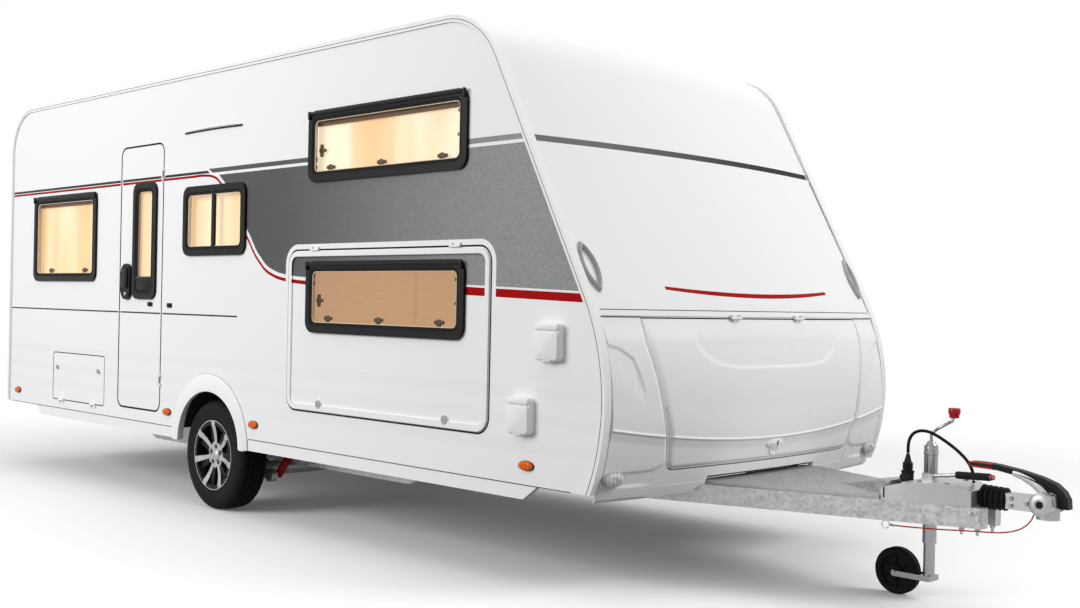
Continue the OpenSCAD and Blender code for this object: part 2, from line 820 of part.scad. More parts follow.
// Chassis: two deep beams that run together into the drawbar, with cross members
bend_back = 956;
tip_back = 327;
tip_y = 60;
cross_h = 60;
x_bend = x_front - bend_back;
x_tip = x_nose - tip_back;
bar_z = side_z - bar_h;
deep_front = 774;
deep_rear = 1300;
deep_lead = 200;
chassis_rear = 350;
cross_rear = 1000;
cross_back = 440;
CROSS_XS = [x_rear + cross_rear, x_bend - cross_back];
function bar_y(x) = tip_y + (beam_y - tip_y) * (x_tip - x) / (x_tip - x_bend);
module chassis() {
    x0 = x_rear + chassis_rear;
    color("darkgrey") {
        both_sides() {
            side_plate(beam_y - beam_w / 2, beam_y + beam_w / 2) polygon([
                [x0, side_z], [x0, bar_z], [x_axle - deep_rear - deep_lead, bar_z],
                [x_axle - deep_rear, beam_z], [x_bend - deep_front, beam_z],
                [x_bend - deep_front + deep_lead, bar_z], [x_bend + 10, bar_z], [x_bend + 10, side_z]]);
            translate([0, 0, bar_z]) linear_extrude(bar_h) polygon([
                [x_bend, beam_y + beam_w / 2], [x_tip, tip_y + beam_w / 2],
                [x_tip, tip_y - beam_w / 2], [x_bend, beam_y - beam_w / 2]]);
        }
        for (x = CROSS_XS)
            translate([x, -beam_y, side_z - cross_h]) cube([beam_w, 2 * beam_y, cross_h]);
    }
}

// Studded plate over the drawbar and the housing of the overrun brake
cover_t = 18;
cover_l = 738;
housing_back = 371;
x_cover = x_front + cover_l;
x_housing = x_cover + housing_back;
housing_z = side_z + 84;
ledge_z = side_z + 58;
jockey_back = 655;
housing_taper = 120;
x_jockey = x_nose - jockey_back;
jockey_gap = 17.3;
jockey_y = bar_y(x_jockey) - beam_w / 2 - jockey_r - jockey_gap;
module drawbar_cover() {
    x0 = x_front - 40;
    w0 = slot_w - 10;
    color("dimgrey") translate([0, 0, side_z]) linear_extrude(cover_t) polygon([
        [x0, -w0], [x_front + 40, -w0], [x_cover, -bar_y(x_cover)],
        [x_cover, bar_y(x_cover)], [x_front + 40, w0], [x0, w0]]);
}
module overrun_housing() {
    w0 = bar_y(x_cover) - 10;
    w1 = bar_y(x_housing) + beam_w / 2;
    color("silver") difference() {
        intersection() {
            side_plate(-w0, w0) polygon([
                [x_cover, side_z], [x_cover, side_z + 40], [x_cover + 15, ledge_z], [x_cover + 75, ledge_z],
                [x_cover + 105, housing_z], [x_housing - 80, housing_z], [x_housing, housing_z - 18],
                [x_housing, side_z]]);
            translate([0, 0, side_z]) linear_extrude(housing_z) polygon([
                [x_cover, -w0], [x_cover + housing_taper, -w0], [x_housing, -w1],
                [x_housing, w1], [x_cover + housing_taper, w0], [x_cover, w0]]);
        }
        translate([x_jockey, jockey_y, 0]) cylinder(h = roof_z, r = jockey_r + fit);
    }
}

// Axle tube under the beams, trailing arms with the stub axles, shock absorbers
arm_lead = 160;
tube_r = 45;
tube_z = beam_z - tube_r;
arm_y = beam_y + beam_w / 2 + 60;
arm_t = 40;
eye_r = 60;
hub_y = half_w - wheel_in - 60;
x_tube = x_axle + arm_lead;
stub_z = tyre_d / 2;
module axle_tube() {
    color("darkgrey") rod_y(x_tube, tube_z, -arm_y, arm_y, tube_r);
}
module trailing_arms() {
    across = unit([stub_z - tube_z, arm_lead]);
    eye = [x_tube, tube_z];
    hub = [x_axle, stub_z];
    color("darkgrey") both_sides() {
        side_plate(arm_y, arm_y + arm_t) {
            translate(eye) circle(r = eye_r);
            translate(hub) circle(r = eye_r - 10);
            translate([x_axle + SHOCK[1][0], SHOCK[1][1]]) circle(r = lug_r);
            polygon([eye + 42 * across, hub + 36 * across, hub - 36 * across, eye - 42 * across]);
        }
        rod_y(x_axle, stub_z, arm_y + arm_t - 1, hub_y, stub_r);
    }
}
shock_r = 25;
shock_pin = 10;
shock_y = arm_y - 30;
SHOCK = [[335, 308], [246, 213]];
lug_r = 36;
module shock_absorbers() {
    a = [x_axle + SHOCK[0][0], shock_y, SHOCK[0][1]];
    b = [x_axle + SHOCK[1][0], shock_y, SHOCK[1][1]];
    color("firebrick") both_sides() {
        rod(a, b, shock_r);
        rod_y(a[0], a[2], beam_y + beam_w / 2, shock_y, shock_pin);
        rod_y(b[0], b[2], shock_y, arm_y, shock_pin);
    }
}

// Road wheels: tyre and alloy rim with its brake drum, turned about Y
tread_w = 150;
shoulder = 22;
bead_r = rim_d / 2 - 16;
barrel_t = 12;
wheel_y = half_w - wheel_in - tyre_w / 2;
module turned(y, z) {
    translate([x_axle, y, z]) rotate([-90, 0, 0]) rotate_extrude($fn = 128) children();
}
module tyre() {
    r = tyre_d / 2;
    w = tyre_w / 2;
    t = tread_w / 2;
    bead_w = tyre_w / 2 - 14;
    turned(wheel_y, stub_z) polygon([
        [bead_r + fit, -bead_w], [rim_d / 2 + 8, -bead_w], [(r + bead_r) / 2, -w],
        [r - shoulder, -w + 6], [r - 5, -t - 4], [r, -t + 8],
        [r, t - 8], [r - 5, t + 4], [r - shoulder, w - 6],
        [(r + bead_r) / 2, w], [rim_d / 2 + 8, bead_w], [bead_r + fit, bead_w]]);
}
spoke_w = 44;
hub_r = 72;
spoke_t = 24;
drum_r = 125;
drum_t = 60;
module rim() {
    w = tyre_w / 2;
    face = w - 26;
    flange = w - 14;
    difference() {
        union() {
            turned(wheel_y, stub_z) polygon([
                [bead_r - barrel_t, -flange - 10], [rim_d / 2, -flange - 10],
                [rim_d / 2, -flange - fit], [bead_r, -flange - fit],
                [bead_r, flange + fit], [rim_d / 2, flange + fit],
                [rim_d / 2, flange + 10], [bead_r - barrel_t, flange + 10]]);
            turned(wheel_y + face - spoke_t, stub_z) square([hub_r, spoke_t]);
            for (k = [0:spokes - 1])
                translate([x_axle, wheel_y + face, stub_z]) rotate([0, k * 360 / spokes, 0])
                    rotate([90, 0, 0]) linear_extrude(spoke_t) polygon([
                        [hub_r - 20, -spoke_w * 0.4], [bead_r - barrel_t / 2, -spoke_w * 0.6],
                        [bead_r - barrel_t / 2, spoke_w * 0.6], [hub_r - 20, spoke_w * 0.4]]);
            turned(wheel_y + face - spoke_t - drum_t + 1, stub_z) square([drum_r, drum_t]);
        }
        rod_y(x_axle, stub_z, 0, hub_y + fit, stub_r + fit);
    }
}
module tyre_left() { color("black") tyre(); }
module tyre_right() { color("black") mirror([0, 1, 0]) tyre(); }
module rim_left() { color("silver") rim(); }
module rim_right() { color("silver") mirror([0, 1, 0]) rim(); }

// Jockey wheel: outer tube with its crank, sliding leg, swivelling fork and wheel
jockey_top = 681;
jockey_foot = 251;
leg_r = 25;
leg_top = 500;
leg_foot = 130;
crank_r = 7;
knob_r = 20;
CRANK = [[0, 735], [35, 760], [95, 795], [105, 815]];
module jockey_clamp() {
    color("silver") translate([x_jockey, jockey_y, 0]) {
        difference() {
            translate([0, 0, jockey_foot]) cylinder(h = jockey_top - jockey_foot, r = jockey_r);
            translate([0, 0, jockey_foot - 1]) cylinder(h = jockey_top - jockey_foot - 24, r = leg_r + fit);
        }
        translate([0, 0, jockey_top - 1]) cylinder(h = 20, r1 = jockey_r - 4, r2 = jockey_r / 2);
        rod([0, 0, jockey_top], [0, 0, CRANK[0][1]], crank_r);
        for (i = [0:2])
            rod([CRANK[i][0], 0, CRANK[i][1]], [CRANK[i + 1][0], 0, CRANK[i + 1][1]], crank_r);
        for (q = CRANK) translate([q[0], 0, q[1]]) sphere(r = crank_r + 1);
        translate([CRANK[3][0], 0, CRANK[3][1] - 4]) cylinder(h = 42, r = knob_r);
    }
}
module jockey_leg() {
    color("silver") translate([x_jockey, jockey_y, leg_foot]) cylinder(h = leg_top - leg_foot, r = leg_r);
}
fork_t = 6;
fork_gap = 5;
jockey_w = 60;
jockey_pin = 8;
axle_z = jockey_d / 2;
fork_h = 40;
module jockey_fork() {
    in_w = jockey_w / 2 + fork_gap;
    x_wheel = x_jockey - jockey_trail;
    color("silver") {
        translate([x_jockey, jockey_y, axle_z - fork_h / 2])
            cylinder(h = leg_foot - fit - axle_z + fork_h / 2, r = leg_r);
        translate([x_jockey - leg_r, jockey_y - in_w - fork_t, axle_z - fork_h / 2])
            cube([2 * leg_r, 2 * (in_w + fork_t), fork_h - 16]);
        for (s = [-in_w - fork_t, in_w]) {
            translate([x_wheel, jockey_y + s, axle_z - fork_h / 2])
                cube([jockey_trail, fork_t, fork_h - 16]);
            rod_y(x_wheel, axle_z - 8, jockey_y + s, jockey_y + s + fork_t, fork_h / 2 - 8);
        }
        rod_y(x_wheel, axle_z, jockey_y - in_w - fork_t - 4, jockey_y + in_w + fork_t + 4, jockey_pin);
    }
}
module jockey_wheel() {
    r = jockey_d / 2;
    w = jockey_w / 2;
    color("black") translate([x_jockey - jockey_trail, jockey_y, axle_z]) rotate([-90, 0, 0]) rotate_extrude()
        polygon([[jockey_pin + fit, -w], [28, -w], [34, -w + 18], [68, -w + 18],
            [74, -w + 4], [r - 10, -w + 4], [r, -w + 14],
            [r, w - 14], [r - 10, w - 4], [74, w - 4],
            [68, w - 18], [34, w - 18], [28, w], [jockey_pin + fit, w]]);
}

// Coupling head on its draw shaft, with the ball's socket and the friction caps
x_ball = x_nose - 90;
shaft_z = ball_z + 30;
shaft_r = 25;
head_r = 46;
head_top = 552;
neck_w = 32;
cap_r = 47;
cap_y = 78;
bellows_l = 116;
module coupling() {
    color("silver") difference() {
        union() {
            rod([x_housing, 0, shaft_z], [x_ball, 0, shaft_z], shaft_r);
            translate([x_housing + bellows_l, -neck_w, shaft_z - 35])
                cube([x_ball - x_housing - bellows_l, 2 * neck_w, 65]);
            translate([x_ball, 0, ball_z - 30]) cylinder(h = head_top - 12 - ball_z + 30, r = head_r);
            translate([x_ball - 20, -20, head_top - 20]) cube([40, 40, 20]);
            rod_y(x_ball, shaft_z + 6, -cap_y, cap_y, cap_r - 15);
            both_sides() rod_y(x_ball, shaft_z + 6, cap_y - 26, cap_y, cap_r);
        }
        translate([x_ball, 0, ball_z - 31]) cylinder(h = 31 + ball_r, r = ball_r);
    }
}
bellows_n = 5;
bellows_r = 52;
module bellows() {
    p = bellows_l / bellows_n;
    color("black") translate([x_housing, 0, shaft_z]) rotate([0, 90, 0]) rotate_extrude()
        polygon(concat([[shaft_r + fit, 0]],
            [for (i = [0:bellows_n - 1], q = [[bellows_r - 12, i * p], [bellows_r - i, (i + 0.35) * p],
                [bellows_r - i, (i + 0.65) * p]]) q],
            [[bellows_r - 14, bellows_l], [shaft_r + fit, bellows_l]]));
}

// Lever of the stabiliser, from the coupling's nose back over the head
lever_w = 22;
LEVER_TOP = [[0, -62], [-3, -22], [-20, 8], [-55, 36], [-110, 56], [-200, 76], [-300, 90], [-419, 92]];
LEVER_LOW = [[-417, 70], [-300, 66], [-200, 50], [-120, 24], [-106, 0], [-66, 0], [-42, -11], [-40, -62]];
module stabiliser_lever() {
    color("black") side_plate(-lever_w, lever_w)
        polygon([for (q = concat(LEVER_TOP, LEVER_LOW)) [x_nose + q[0], head_top + q[1]]]);
}

// Handbrake on the housing
brake_y = -40;
brake_x = 595;
grip_r = 14;
module handbrake() {
    a = [x_nose - brake_x, brake_y, housing_z + 18];
    b = a + [130, 0, 18];
    c = b + [150, 0, 6];
    color("silver") {
        translate([a[0] - 25, brake_y - 12, housing_z]) cube([50, 24, 30]);
        rod(a, b + [1, 0, 0], 8);
        rod(b, c, grip_r);
        rod(c - [1, 0, 0], c + [14, 0, 0.6], grip_r - 4);
    }
}

// Parking socket on the housing's ledge, with the plug and the cables
park = [x_cover + 38, -20];
socket_r = 26;
socket_top = ledge_z + 50;
plug_top = socket_top + 62;
module parking_socket() {
    color("black") {
        translate([park[0], park[1], ledge_z]) cylinder(h = socket_top - ledge_z, r = socket_r);
        rod_y(park[0], socket_top - 24, park[1] - socket_r - 8, park[1] - socket_r + 4, 20);
    }
}
module plug() {
    color("black") translate([park[0], park[1], socket_top]) {
        cylinder(h = 40, r = 20);
        translate([0, 0, 39]) cylinder(h = plug_top - socket_top - 39, r1 = 16, r2 = 10);
    }
}

// A cord swept along its points with the given number of sides
function unit(v) = v / norm(v);
function tangent(p, i) = unit(p[min(i + 1, len(p) - 1)] - p[max(i - 1, 0)]);
function ring(p, i, r, n) =
    let (t = tangent(p, i), u = unit(cross(t, [0, 1, 0])), v = cross(u, t))
    [for (k = [0:n - 1]) p[i] + r * (cos(360 * k / n) * u + sin(360 * k / n) * v)];
module cord(p, r, n) {
    m = len(p);
    polyhedron(
        points = [for (i = [0:m - 1]) each ring(p, i, r, n)],
        faces = concat(
            [[for (k = [0:n - 1]) k]],
            [for (i = [0:m - 2], k = [0:n - 1])
                [i * n + k, (i + 1) * n + k, (i + 1) * n + (k + 1) % n, i * n + (k + 1) % n]],
            [[for (k = [n - 1:-1:0]) (m - 1) * n + k]]));
}
CABLE = [
    [3071, -20, 632], [3071, -20, 660], [3072, -20, 690], [3078, -19, 715], [3092, -18, 736],
    [3114, -16, 749], [3140, -14, 753], [3168, -11, 749], [3195, -7, 738], [3222, -2, 723],
    [3248, 4, 706], [3274, 10, 687], [3298, 16, 666], [3320, 22, 643], [3336, 28, 617],
    [3345, 33, 590], [3348, 36, 565], [3348, 36, 546]];
cable_r = 7;
module cable() { color("black") cord(CABLE, cable_r, 10); }
BREAKAWAY = [
    [3090, -205, 360], [3140, -190, 358], [3200, -170, 358], [3260, -151, 359], [3320, -131, 361],
    [3380, -112, 364], [3440, -93, 366], [3500, -78, 369], [3550, -70, 377], [3590, -64, 391],
    [3620, -60, 411], [3640, -56, 436], [3650, -52, 462], [3652, -46, 480]];
breakaway_r = 3;
module breakaway_cable() { color("red") cord(BREAKAWAY, breakaway_r, 8); }

// Corner steadies, folded up under the floor, and their brackets
steady_in = 150;
steady_y = beam_y - steady_in;
steady_w = 40;
steady_z = side_z - 34;
steady_pin = 8;
steady_rear = 720;
steady_front = 340;
x_steady_rear = x_rear + steady_rear;
x_steady_front = x_bend - steady_front;
cheek_t = 8;
module steady_brackets() {
    color("darkgrey") for (x = [x_steady_rear, x_steady_front]) both_sides() {
        translate([x - 40, steady_y - steady_w / 2 - cheek_t - 2, side_z - 8])
            cube([80, steady_w + 2 * cheek_t + 4, 8]);
        for (y = [steady_y - steady_w / 2 - cheek_t - 2, steady_y + steady_w / 2 + 2])
            translate([x - 24, y, steady_z - 16]) cube([48, cheek_t, side_z - steady_z + 9]);
        rod_y(x, steady_z, steady_y - steady_w / 2 - cheek_t, steady_y + steady_w / 2 + cheek_t, steady_pin);
    }
}
module steady(x, y, dir) {
    color("darkgrey") difference() {
        union() {
            rod_y(x, steady_z, y - steady_w / 2, y + steady_w / 2, steady_w / 2);
            translate([dir > 0 ? x : x - steady_l, y - steady_w / 2, steady_z - steady_w / 2])
                cube([steady_l, steady_w, steady_w]);
            translate([x + dir * steady_l - 6, y - 60, steady_z - 24]) cube([12, 120, 48]);
        }
        rod_y(x, steady_z, y - steady_w, y + steady_w, steady_pin + fit);
    }
}
module steady_rear_right() { steady(x_steady_rear, -steady_y, -1); }
module steady_rear_left() { steady(x_steady_rear, steady_y, -1); }
module steady_front_right() { steady(x_steady_front, -steady_y, 1); }
module steady_front_left() { steady(x_steady_front, steady_y, 1); }

floor();
wall_right();
wall_left();
roof();
rear_wall();
front_panel();
front_moulding();
locker_bulkhead();
edge_rails();
skirts();
arch_trims();
wheel_boxes();
furniture();
window_frames();
window_panes();
curtains();
side_lamps();
front_lamps();
rear_lamps();
rear_bumper();
grab_handles();
roof_lights();
socket_boxes();
vents();
chassis();
drawbar_cover();
overrun_housing();
axle_tube();
trailing_arms();
shock_absorbers();
tyre_right();
rim_right();
tyre_left();
rim_left();
jockey_clamp();
jockey_leg();
jockey_fork();
jockey_wheel();
coupling();
bellows();
stabiliser_lever();
handbrake();
parking_socket();
plug();
cable();
breakaway_cable();
door_panel();
door_handle();
door_frame();
door_pane();
hatch_panel();
hatch_frame();
hatch_pane();
gas_lid();
service_flap();
steady_brackets();
steady_rear_right();
steady_rear_left();
steady_front_right();
steady_front_left();
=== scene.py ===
# %% [markdown]
# # A travel caravan, dressed in cells
# The solids of the caravan come packed as a fixed frame: walls, doors, chassis and wheels at their
# real size, in metres, with +X to the coupling, +Y to the left and +Z up. Blender leaves every solid
# where it is. The cells below give each surface its finish and add what is too fine for solids:
# window catches, curtains, tread, lamps, seams and small fittings.

# %% Load the frame
import math

import bpy
import bmesh
from mathutils import Matrix, Vector


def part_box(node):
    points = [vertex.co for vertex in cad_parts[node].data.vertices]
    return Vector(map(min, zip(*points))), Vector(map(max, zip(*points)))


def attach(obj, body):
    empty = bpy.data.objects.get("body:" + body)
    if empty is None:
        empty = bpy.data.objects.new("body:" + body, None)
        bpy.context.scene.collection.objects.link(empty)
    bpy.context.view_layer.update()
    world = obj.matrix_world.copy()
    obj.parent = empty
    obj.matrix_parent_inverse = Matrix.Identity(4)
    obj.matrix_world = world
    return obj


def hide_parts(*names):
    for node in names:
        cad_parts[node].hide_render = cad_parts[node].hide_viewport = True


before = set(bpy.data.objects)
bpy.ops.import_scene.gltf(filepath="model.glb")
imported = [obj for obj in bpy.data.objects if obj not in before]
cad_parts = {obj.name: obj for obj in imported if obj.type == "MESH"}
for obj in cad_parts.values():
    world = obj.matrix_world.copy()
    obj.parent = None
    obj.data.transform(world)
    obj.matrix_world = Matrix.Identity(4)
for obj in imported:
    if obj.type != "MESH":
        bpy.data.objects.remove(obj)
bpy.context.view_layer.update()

# %% [markdown]
# ## Camera
# A photograph fixes where the camera stood. The body's long edges, its verticals and the rim's known
# size were enough to solve for it, so the camera is placed by its position and three angles rather
# than aimed by eye. Yaw turns it from +Y towards -X, pitch tips it down and roll leans it.

# %% Camera at the photograph's place
CAMERA_AT = Vector((5.829, -5.090, 1.278))
YAW, PITCH, ROLL = math.radians(44.90), math.radians(0.076), math.radians(-1.143)
SENSOR_MM = 36.0
FOCAL_PX, FRAME_PX = 1264.36, 1080
CLIP_END = 200


def camera_axes(yaw, pitch, roll):
    """The camera's right, up and backward directions in the frame."""
    forward = Vector((-math.sin(yaw) * math.cos(pitch), math.cos(yaw) * math.cos(pitch), -math.sin(pitch)))
    level = Vector((math.cos(yaw), math.sin(yaw), 0))
    down = forward.cross(level)
    right = math.cos(roll) * level + math.sin(roll) * down
    up = math.sin(roll) * level - math.cos(roll) * down
    return right, up, -forward


def add_camera():
    data = bpy.data.cameras.new("camera")
    data.sensor_width = SENSOR_MM
    data.lens = FOCAL_PX / FRAME_PX * SENSOR_MM
    data.clip_end = CLIP_END
    camera = bpy.data.objects.new("camera", data)
    bpy.context.scene.collection.objects.link(camera)
    turn = Matrix(camera_axes(YAW, PITCH, ROLL)).transposed().to_4x4()
    camera.matrix_world = Matrix.Translation(CAMERA_AT) @ turn
    bpy.context.scene.camera = camera
    return camera


camera = add_camera()
print("lens in mm:", round(camera.data.lens, 2))

# %% [markdown]
# ## Shader maths as Python
# A finish is a small program over the surface. Wiring Math nodes by hand hides that, so one class wraps
# a socket and turns Python operators into Math nodes. Anything that isn't plain arithmetic goes through
# a single method that takes a node's type, its settings and what its sockets get. It works on any node
# tree, so the room's light and the smoothing of the solids use it too.

# %% A socket with arithmetic
class Wire:
    """One output socket. Arithmetic on it adds Math nodes to its tree."""

    def __init__(self, nodes, socket):
        self.nodes = nodes
        self.socket = socket

    def math(self, operation, *others):
        sockets = dict(enumerate((self,) + others))
        return self.nodes.node("ShaderNodeMath", {"operation": operation}, sockets)

    def __add__(self, other):
        return self.math("ADD", other)

    def __sub__(self, other):
        return self.math("SUBTRACT", other)

    def __rsub__(self, other):
        return self.nodes.node("ShaderNodeMath", {"operation": "SUBTRACT"}, {0: other, 1: self})

    def __mul__(self, other):
        return self.math("MULTIPLY", other)

    def __truediv__(self, other):
        return self.math("DIVIDE", other)

    def __gt__(self, other):
        return self.math("GREATER_THAN", other)

    def __lt__(self, other):
        return self.math("LESS_THAN", other)

    def __abs__(self):
        return self.math("ABSOLUTE")

    __radd__ = __add__
    __rmul__ = __mul__

    def ramp(self, low, high):
        """0 below low and 1 above high, with a smooth step between."""
        settings = {"interpolation_type": "SMOOTHSTEP"}
        return self.nodes.node("ShaderNodeMapRange", settings, {0: self, 1: low, 2: high})

    def within(self, low, high, soft=0.0008):
        """1 between low and high, with a soft edge."""
        return self.ramp(low - soft, low + soft) * (1 - self.ramp(high - soft, high + soft))


print("sockets can be added, multiplied and compared")

# %% [markdown]
# ## Node trees and finishes
# A node tree gets its nodes one call at a time, each with its settings first and its sockets after. A
# finish is such a tree with a material round it. It knows the Principled shader at its end, and it has
# short methods for what every finish needs: the place on the object, noise, a mix of colours and a bump.

# %% A node tree, and a finish made of one
class Nodes:
    """A node tree under construction."""

    def __init__(self, tree):
        self.tree = tree

    def node(self, kind, settings=None, sockets=None, out=0):
        made = self.tree.nodes.new(kind)
        for key, value in (settings or {}).items():
            if key == "curve":
                self.set_curve(made.mapping, value)
            else:
                setattr(made, key, value)
        for key, value in (sockets or {}).items():
            self.plug(made.inputs[key], value)
        return Wire(self, made.outputs[out])

    def plug(self, socket, value):
        if isinstance(value, Wire):
            self.tree.links.new(value.socket, socket)
        elif isinstance(value, (tuple, list)) and len(value) == 3 and socket.type == "RGBA":
            socket.default_value = (*value, 1.0)
        else:
            socket.default_value = value

    @staticmethod
    def set_curve(mapping, points):
        line = mapping.curves[0].points
        while len(line) < len(points):
            line.new(0.5, 0.5)
        for point, place in zip(line, points):
            point.location = place
        mapping.update()


class Finish(Nodes):
    """A material under construction, with a Principled shader at its end."""

    def __init__(self, name, **values):
        self.material = bpy.data.materials.new(name)
        self.material.use_nodes = True
        super().__init__(self.material.node_tree)
        self.shader = self.tree.nodes["Principled BSDF"]
        for socket, value in values.items():
            self.feed(socket.replace("_", " ").title().replace("Ior", "IOR"), value)

    def feed(self, socket, value):
        self.plug(self.shader.inputs[socket], value)

    def place(self):
        """X, Y and Z in the frame, which a CAD solid keeps while it moves."""
        at = self.node("ShaderNodeTexCoord", out=3)
        split = self.node("ShaderNodeSeparateXYZ", sockets={0: at})
        return [Wire(self, out) for out in split.socket.node.outputs]

    def noise(self, scale, detail=3.0, rough=0.5, stretch=(1, 1, 1)):
        at = self.node("ShaderNodeTexCoord", out=3)
        at = self.node("ShaderNodeMapping", sockets={0: at, 3: stretch})
        sockets = {0: at, "Scale": scale, "Detail": detail, "Roughness": rough}
        return self.node("ShaderNodeTexNoise", sockets=sockets)

    def mix(self, factor, low, high):
        return self.node("ShaderNodeMix", {"data_type": "RGBA"}, {0: factor, 6: low, 7: high}, out=2)

    def bump(self, height, strength=0.2, distance=0.001):
        sockets = {"Strength": strength, "Distance": distance, "Height": height}
        self.feed("Normal", self.node("ShaderNodeBump", sockets=sockets))

    def grey(self, tone, green, blue):
        """A grey that leans a little to a colour, from a tone that changes over the surface."""
        return self.node("ShaderNodeCombineColor", sockets={0: tone, 1: tone * green, 2: tone * blue})


print("node helpers ready")

# %% [markdown]
# ## Pieces
# Most fittings are one of four shapes: a plate cut from an outline, a ring turned on a lathe, a bar swept
# along a path, or a skin lofted through sections. Each is worked out as points and faces, and this cell
# makes the mesh. Every piece rides on the body that carries it, and takes a finish.

# %% Pieces from points and faces
WELD = 1e-6


def placed(name, shape, finish):
    """A mesh object from points and faces, in one finish."""
    points, faces = shape
    mesh = bpy.data.meshes.new(name)
    mesh.from_pydata([tuple(p) for p in points], [], faces)
    mesh.materials.append(finish)
    made = bpy.data.objects.new(name, mesh)
    bpy.context.scene.collection.objects.link(made)
    return made


def piece(name, shape, finish, body="caravan", sharp=35):
    """A fitting that rides on a body, smooth but for edges sharper than the given angle."""
    made = placed(name, shape, finish)
    weld(made.data, sharp)
    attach(made, body)
    return made


def weld(mesh, sharp):
    work = bmesh.new()
    work.from_mesh(mesh)
    bmesh.ops.remove_doubles(work, verts=work.verts, dist=WELD)
    bmesh.ops.recalc_face_normals(work, faces=work.faces)
    for face in work.faces:
        face.smooth = True
    for edge in work.edges:
        edge.smooth = edge.calc_face_angle(0) < math.radians(sharp)
    work.to_mesh(mesh)
    work.free()


print("pieces are welded within", WELD, "m")

# %% [markdown]
# ## Outlines and shapes
# An outline is a list of points in a plane, with its round stretches as arcs. A skin through several
# outlines gives a plate with softened rims, a turned ring or a swept bar, so one loft serves them all.
# A placing function then lays the plane on a wall, so that one fitting can go on any side.

# %% Outlines, and skins through them
def spread(low, high, count):
    """Evenly spaced values from low to high."""
    return [low + (high - low) * k / count for k in range(count + 1)]


def full_turn(count):
    """Angles round a circle, in radians."""
    return [2 * math.pi * k / count for k in range(count)]


def arc(centre, radius, start, end, steps):
    """Points on a circle in a plane, angles in degrees."""
    turns = [math.radians(t) for t in spread(start, end, steps)]
    return [(centre[0] + radius * math.cos(t), centre[1] + radius * math.sin(t)) for t in turns]


def rounded(u, v, width, height, radius, steps=6):
    """Outline of a rounded rectangle from its lower corner."""
    corners = ((u + width - radius, v + radius, -90), (u + width - radius, v + height - radius, 0),
               (u + radius, v + height - radius, 90), (u + radius, v + radius, 180))
    return [p for cu, cv, a in corners for p in arc((cu, cv), radius, a, a + 90, steps)]


def loft(sections, closed=True, caps=True):
    """Points and faces of a skin through sections that have the same number of points."""
    count = len(sections[0])
    points = [p for section in sections for p in section]
    span = count if closed else count - 1
    pairs = [(i * count, k, (k + 1) % count) for i in range(len(sections) - 1) for k in range(span)]
    faces = [(row + k, row + nxt, row + count + nxt, row + count + k) for row, k, nxt in pairs]
    if caps:
        faces.append(tuple(range(count)))
        faces.append(tuple(range((len(sections) - 1) * count, len(sections) * count)))
    return points, faces


def stacked(rows, on, caps=True):
    """A skin through outlines at their heights. on(u, v, w) places a point."""
    return loft([[on(u, v, w) for u, v in outline] for outline, w in rows], caps=caps)


def shrunk(outline, d):
    """An outline drawn in by d along its corners' bisectors."""
    out = []
    for i, p in enumerate(outline):
        a, b = Vector(outline[i - 1]), Vector(outline[(i + 1) % len(outline)])
        along = (b - a).normalized()
        out.append((p[0] - along.y * d, p[1] + along.x * d))
    return out


def plate(outline, low, high, soft, on):
    """A plate from low to high with softened rims."""
    rows = [(soft, low), (0, low + soft), (0, high - soft), (soft * 0.3, high - soft * 0.3), (soft, high)]
    return stacked([(shrunk(outline, d), w) for d, w in rows], on)


def joined(*shapes):
    """Several shapes as one list of points and faces."""
    points, faces = [], []
    for p, f in shapes:
        start = len(points)
        points += p
        faces += [tuple(start + i for i in face) for face in f]
    return points, faces


def lathe(profile, centre, axis, steps=64):
    """A closed or open profile of (radius, height) turned about an axis through centre."""
    axis = Vector(axis).normalized()
    side = axis.orthogonal().normalized()
    other = axis.cross(side)
    turns = full_turn(steps)
    rows = [[Vector(centre) + axis * h + (side * math.cos(t) + other * math.sin(t)) * r for t in turns]
            for r, h in profile]
    return loft(rows, caps=False)


def sweep(path, radius, sides=12, squash=1.0, up=(0, 0, 1)):
    """A bar along a path, with one radius or one for each point."""
    path = [Vector(p) for p in path]
    radii = radius if isinstance(radius, (list, tuple)) else [radius] * len(path)
    turns = full_turn(sides)
    rows = []
    for i, p in enumerate(path):
        along = (path[min(i + 1, len(path) - 1)] - path[max(i - 1, 0)]).normalized()
        side = along.cross(Vector(up))
        side = side.normalized() if side.length > 1e-3 else along.orthogonal().normalized()
        top = side.cross(along)
        rows.append([p + (side * math.cos(t) + top * math.sin(t) * squash) * radii[i] for t in turns])
    return loft(rows)


def smooth_path(points, per=6):
    """A finer path through the points. At each one it runs parallel to the line between its neighbours."""
    points = [Vector(p) for p in points]
    out = []
    for i in range(len(points) - 1):
        a, b, c, d = (points[min(max(i + k, 0), len(points) - 1)] for k in (-1, 0, 1, 2))
        for k in range(per):
            t = k / per
            out.append(0.5 * ((2 * b) + (c - a) * t + (2 * a - 5 * b + 4 * c - d) * t * t
                              + (3 * b - a - 3 * c + d) * t ** 3))
    return out + [points[-1]]


def on_right(u, v, w):
    """X and Z on the right wall, standing out by w."""
    return Vector((u, -HALF_W - w, v))


def on_left(u, v, w):
    return Vector((u, HALF_W + w, v))


def on_rear(u, v, w):
    """Y and Z on the rear wall, whose frames stand out half as far as the others."""
    return Vector((X_REAR - (w / 2 if w > 0 else w), u, v))


wall_low, wall_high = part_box("wall_left")
HALF_W = wall_high.y
WALL_T = wall_high.y - wall_low.y
X_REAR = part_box("rear_wall")[0].x
print("half width:", round(HALF_W, 3), "wall:", round(WALL_T, 3), "rear skin at:", round(X_REAR, 3))

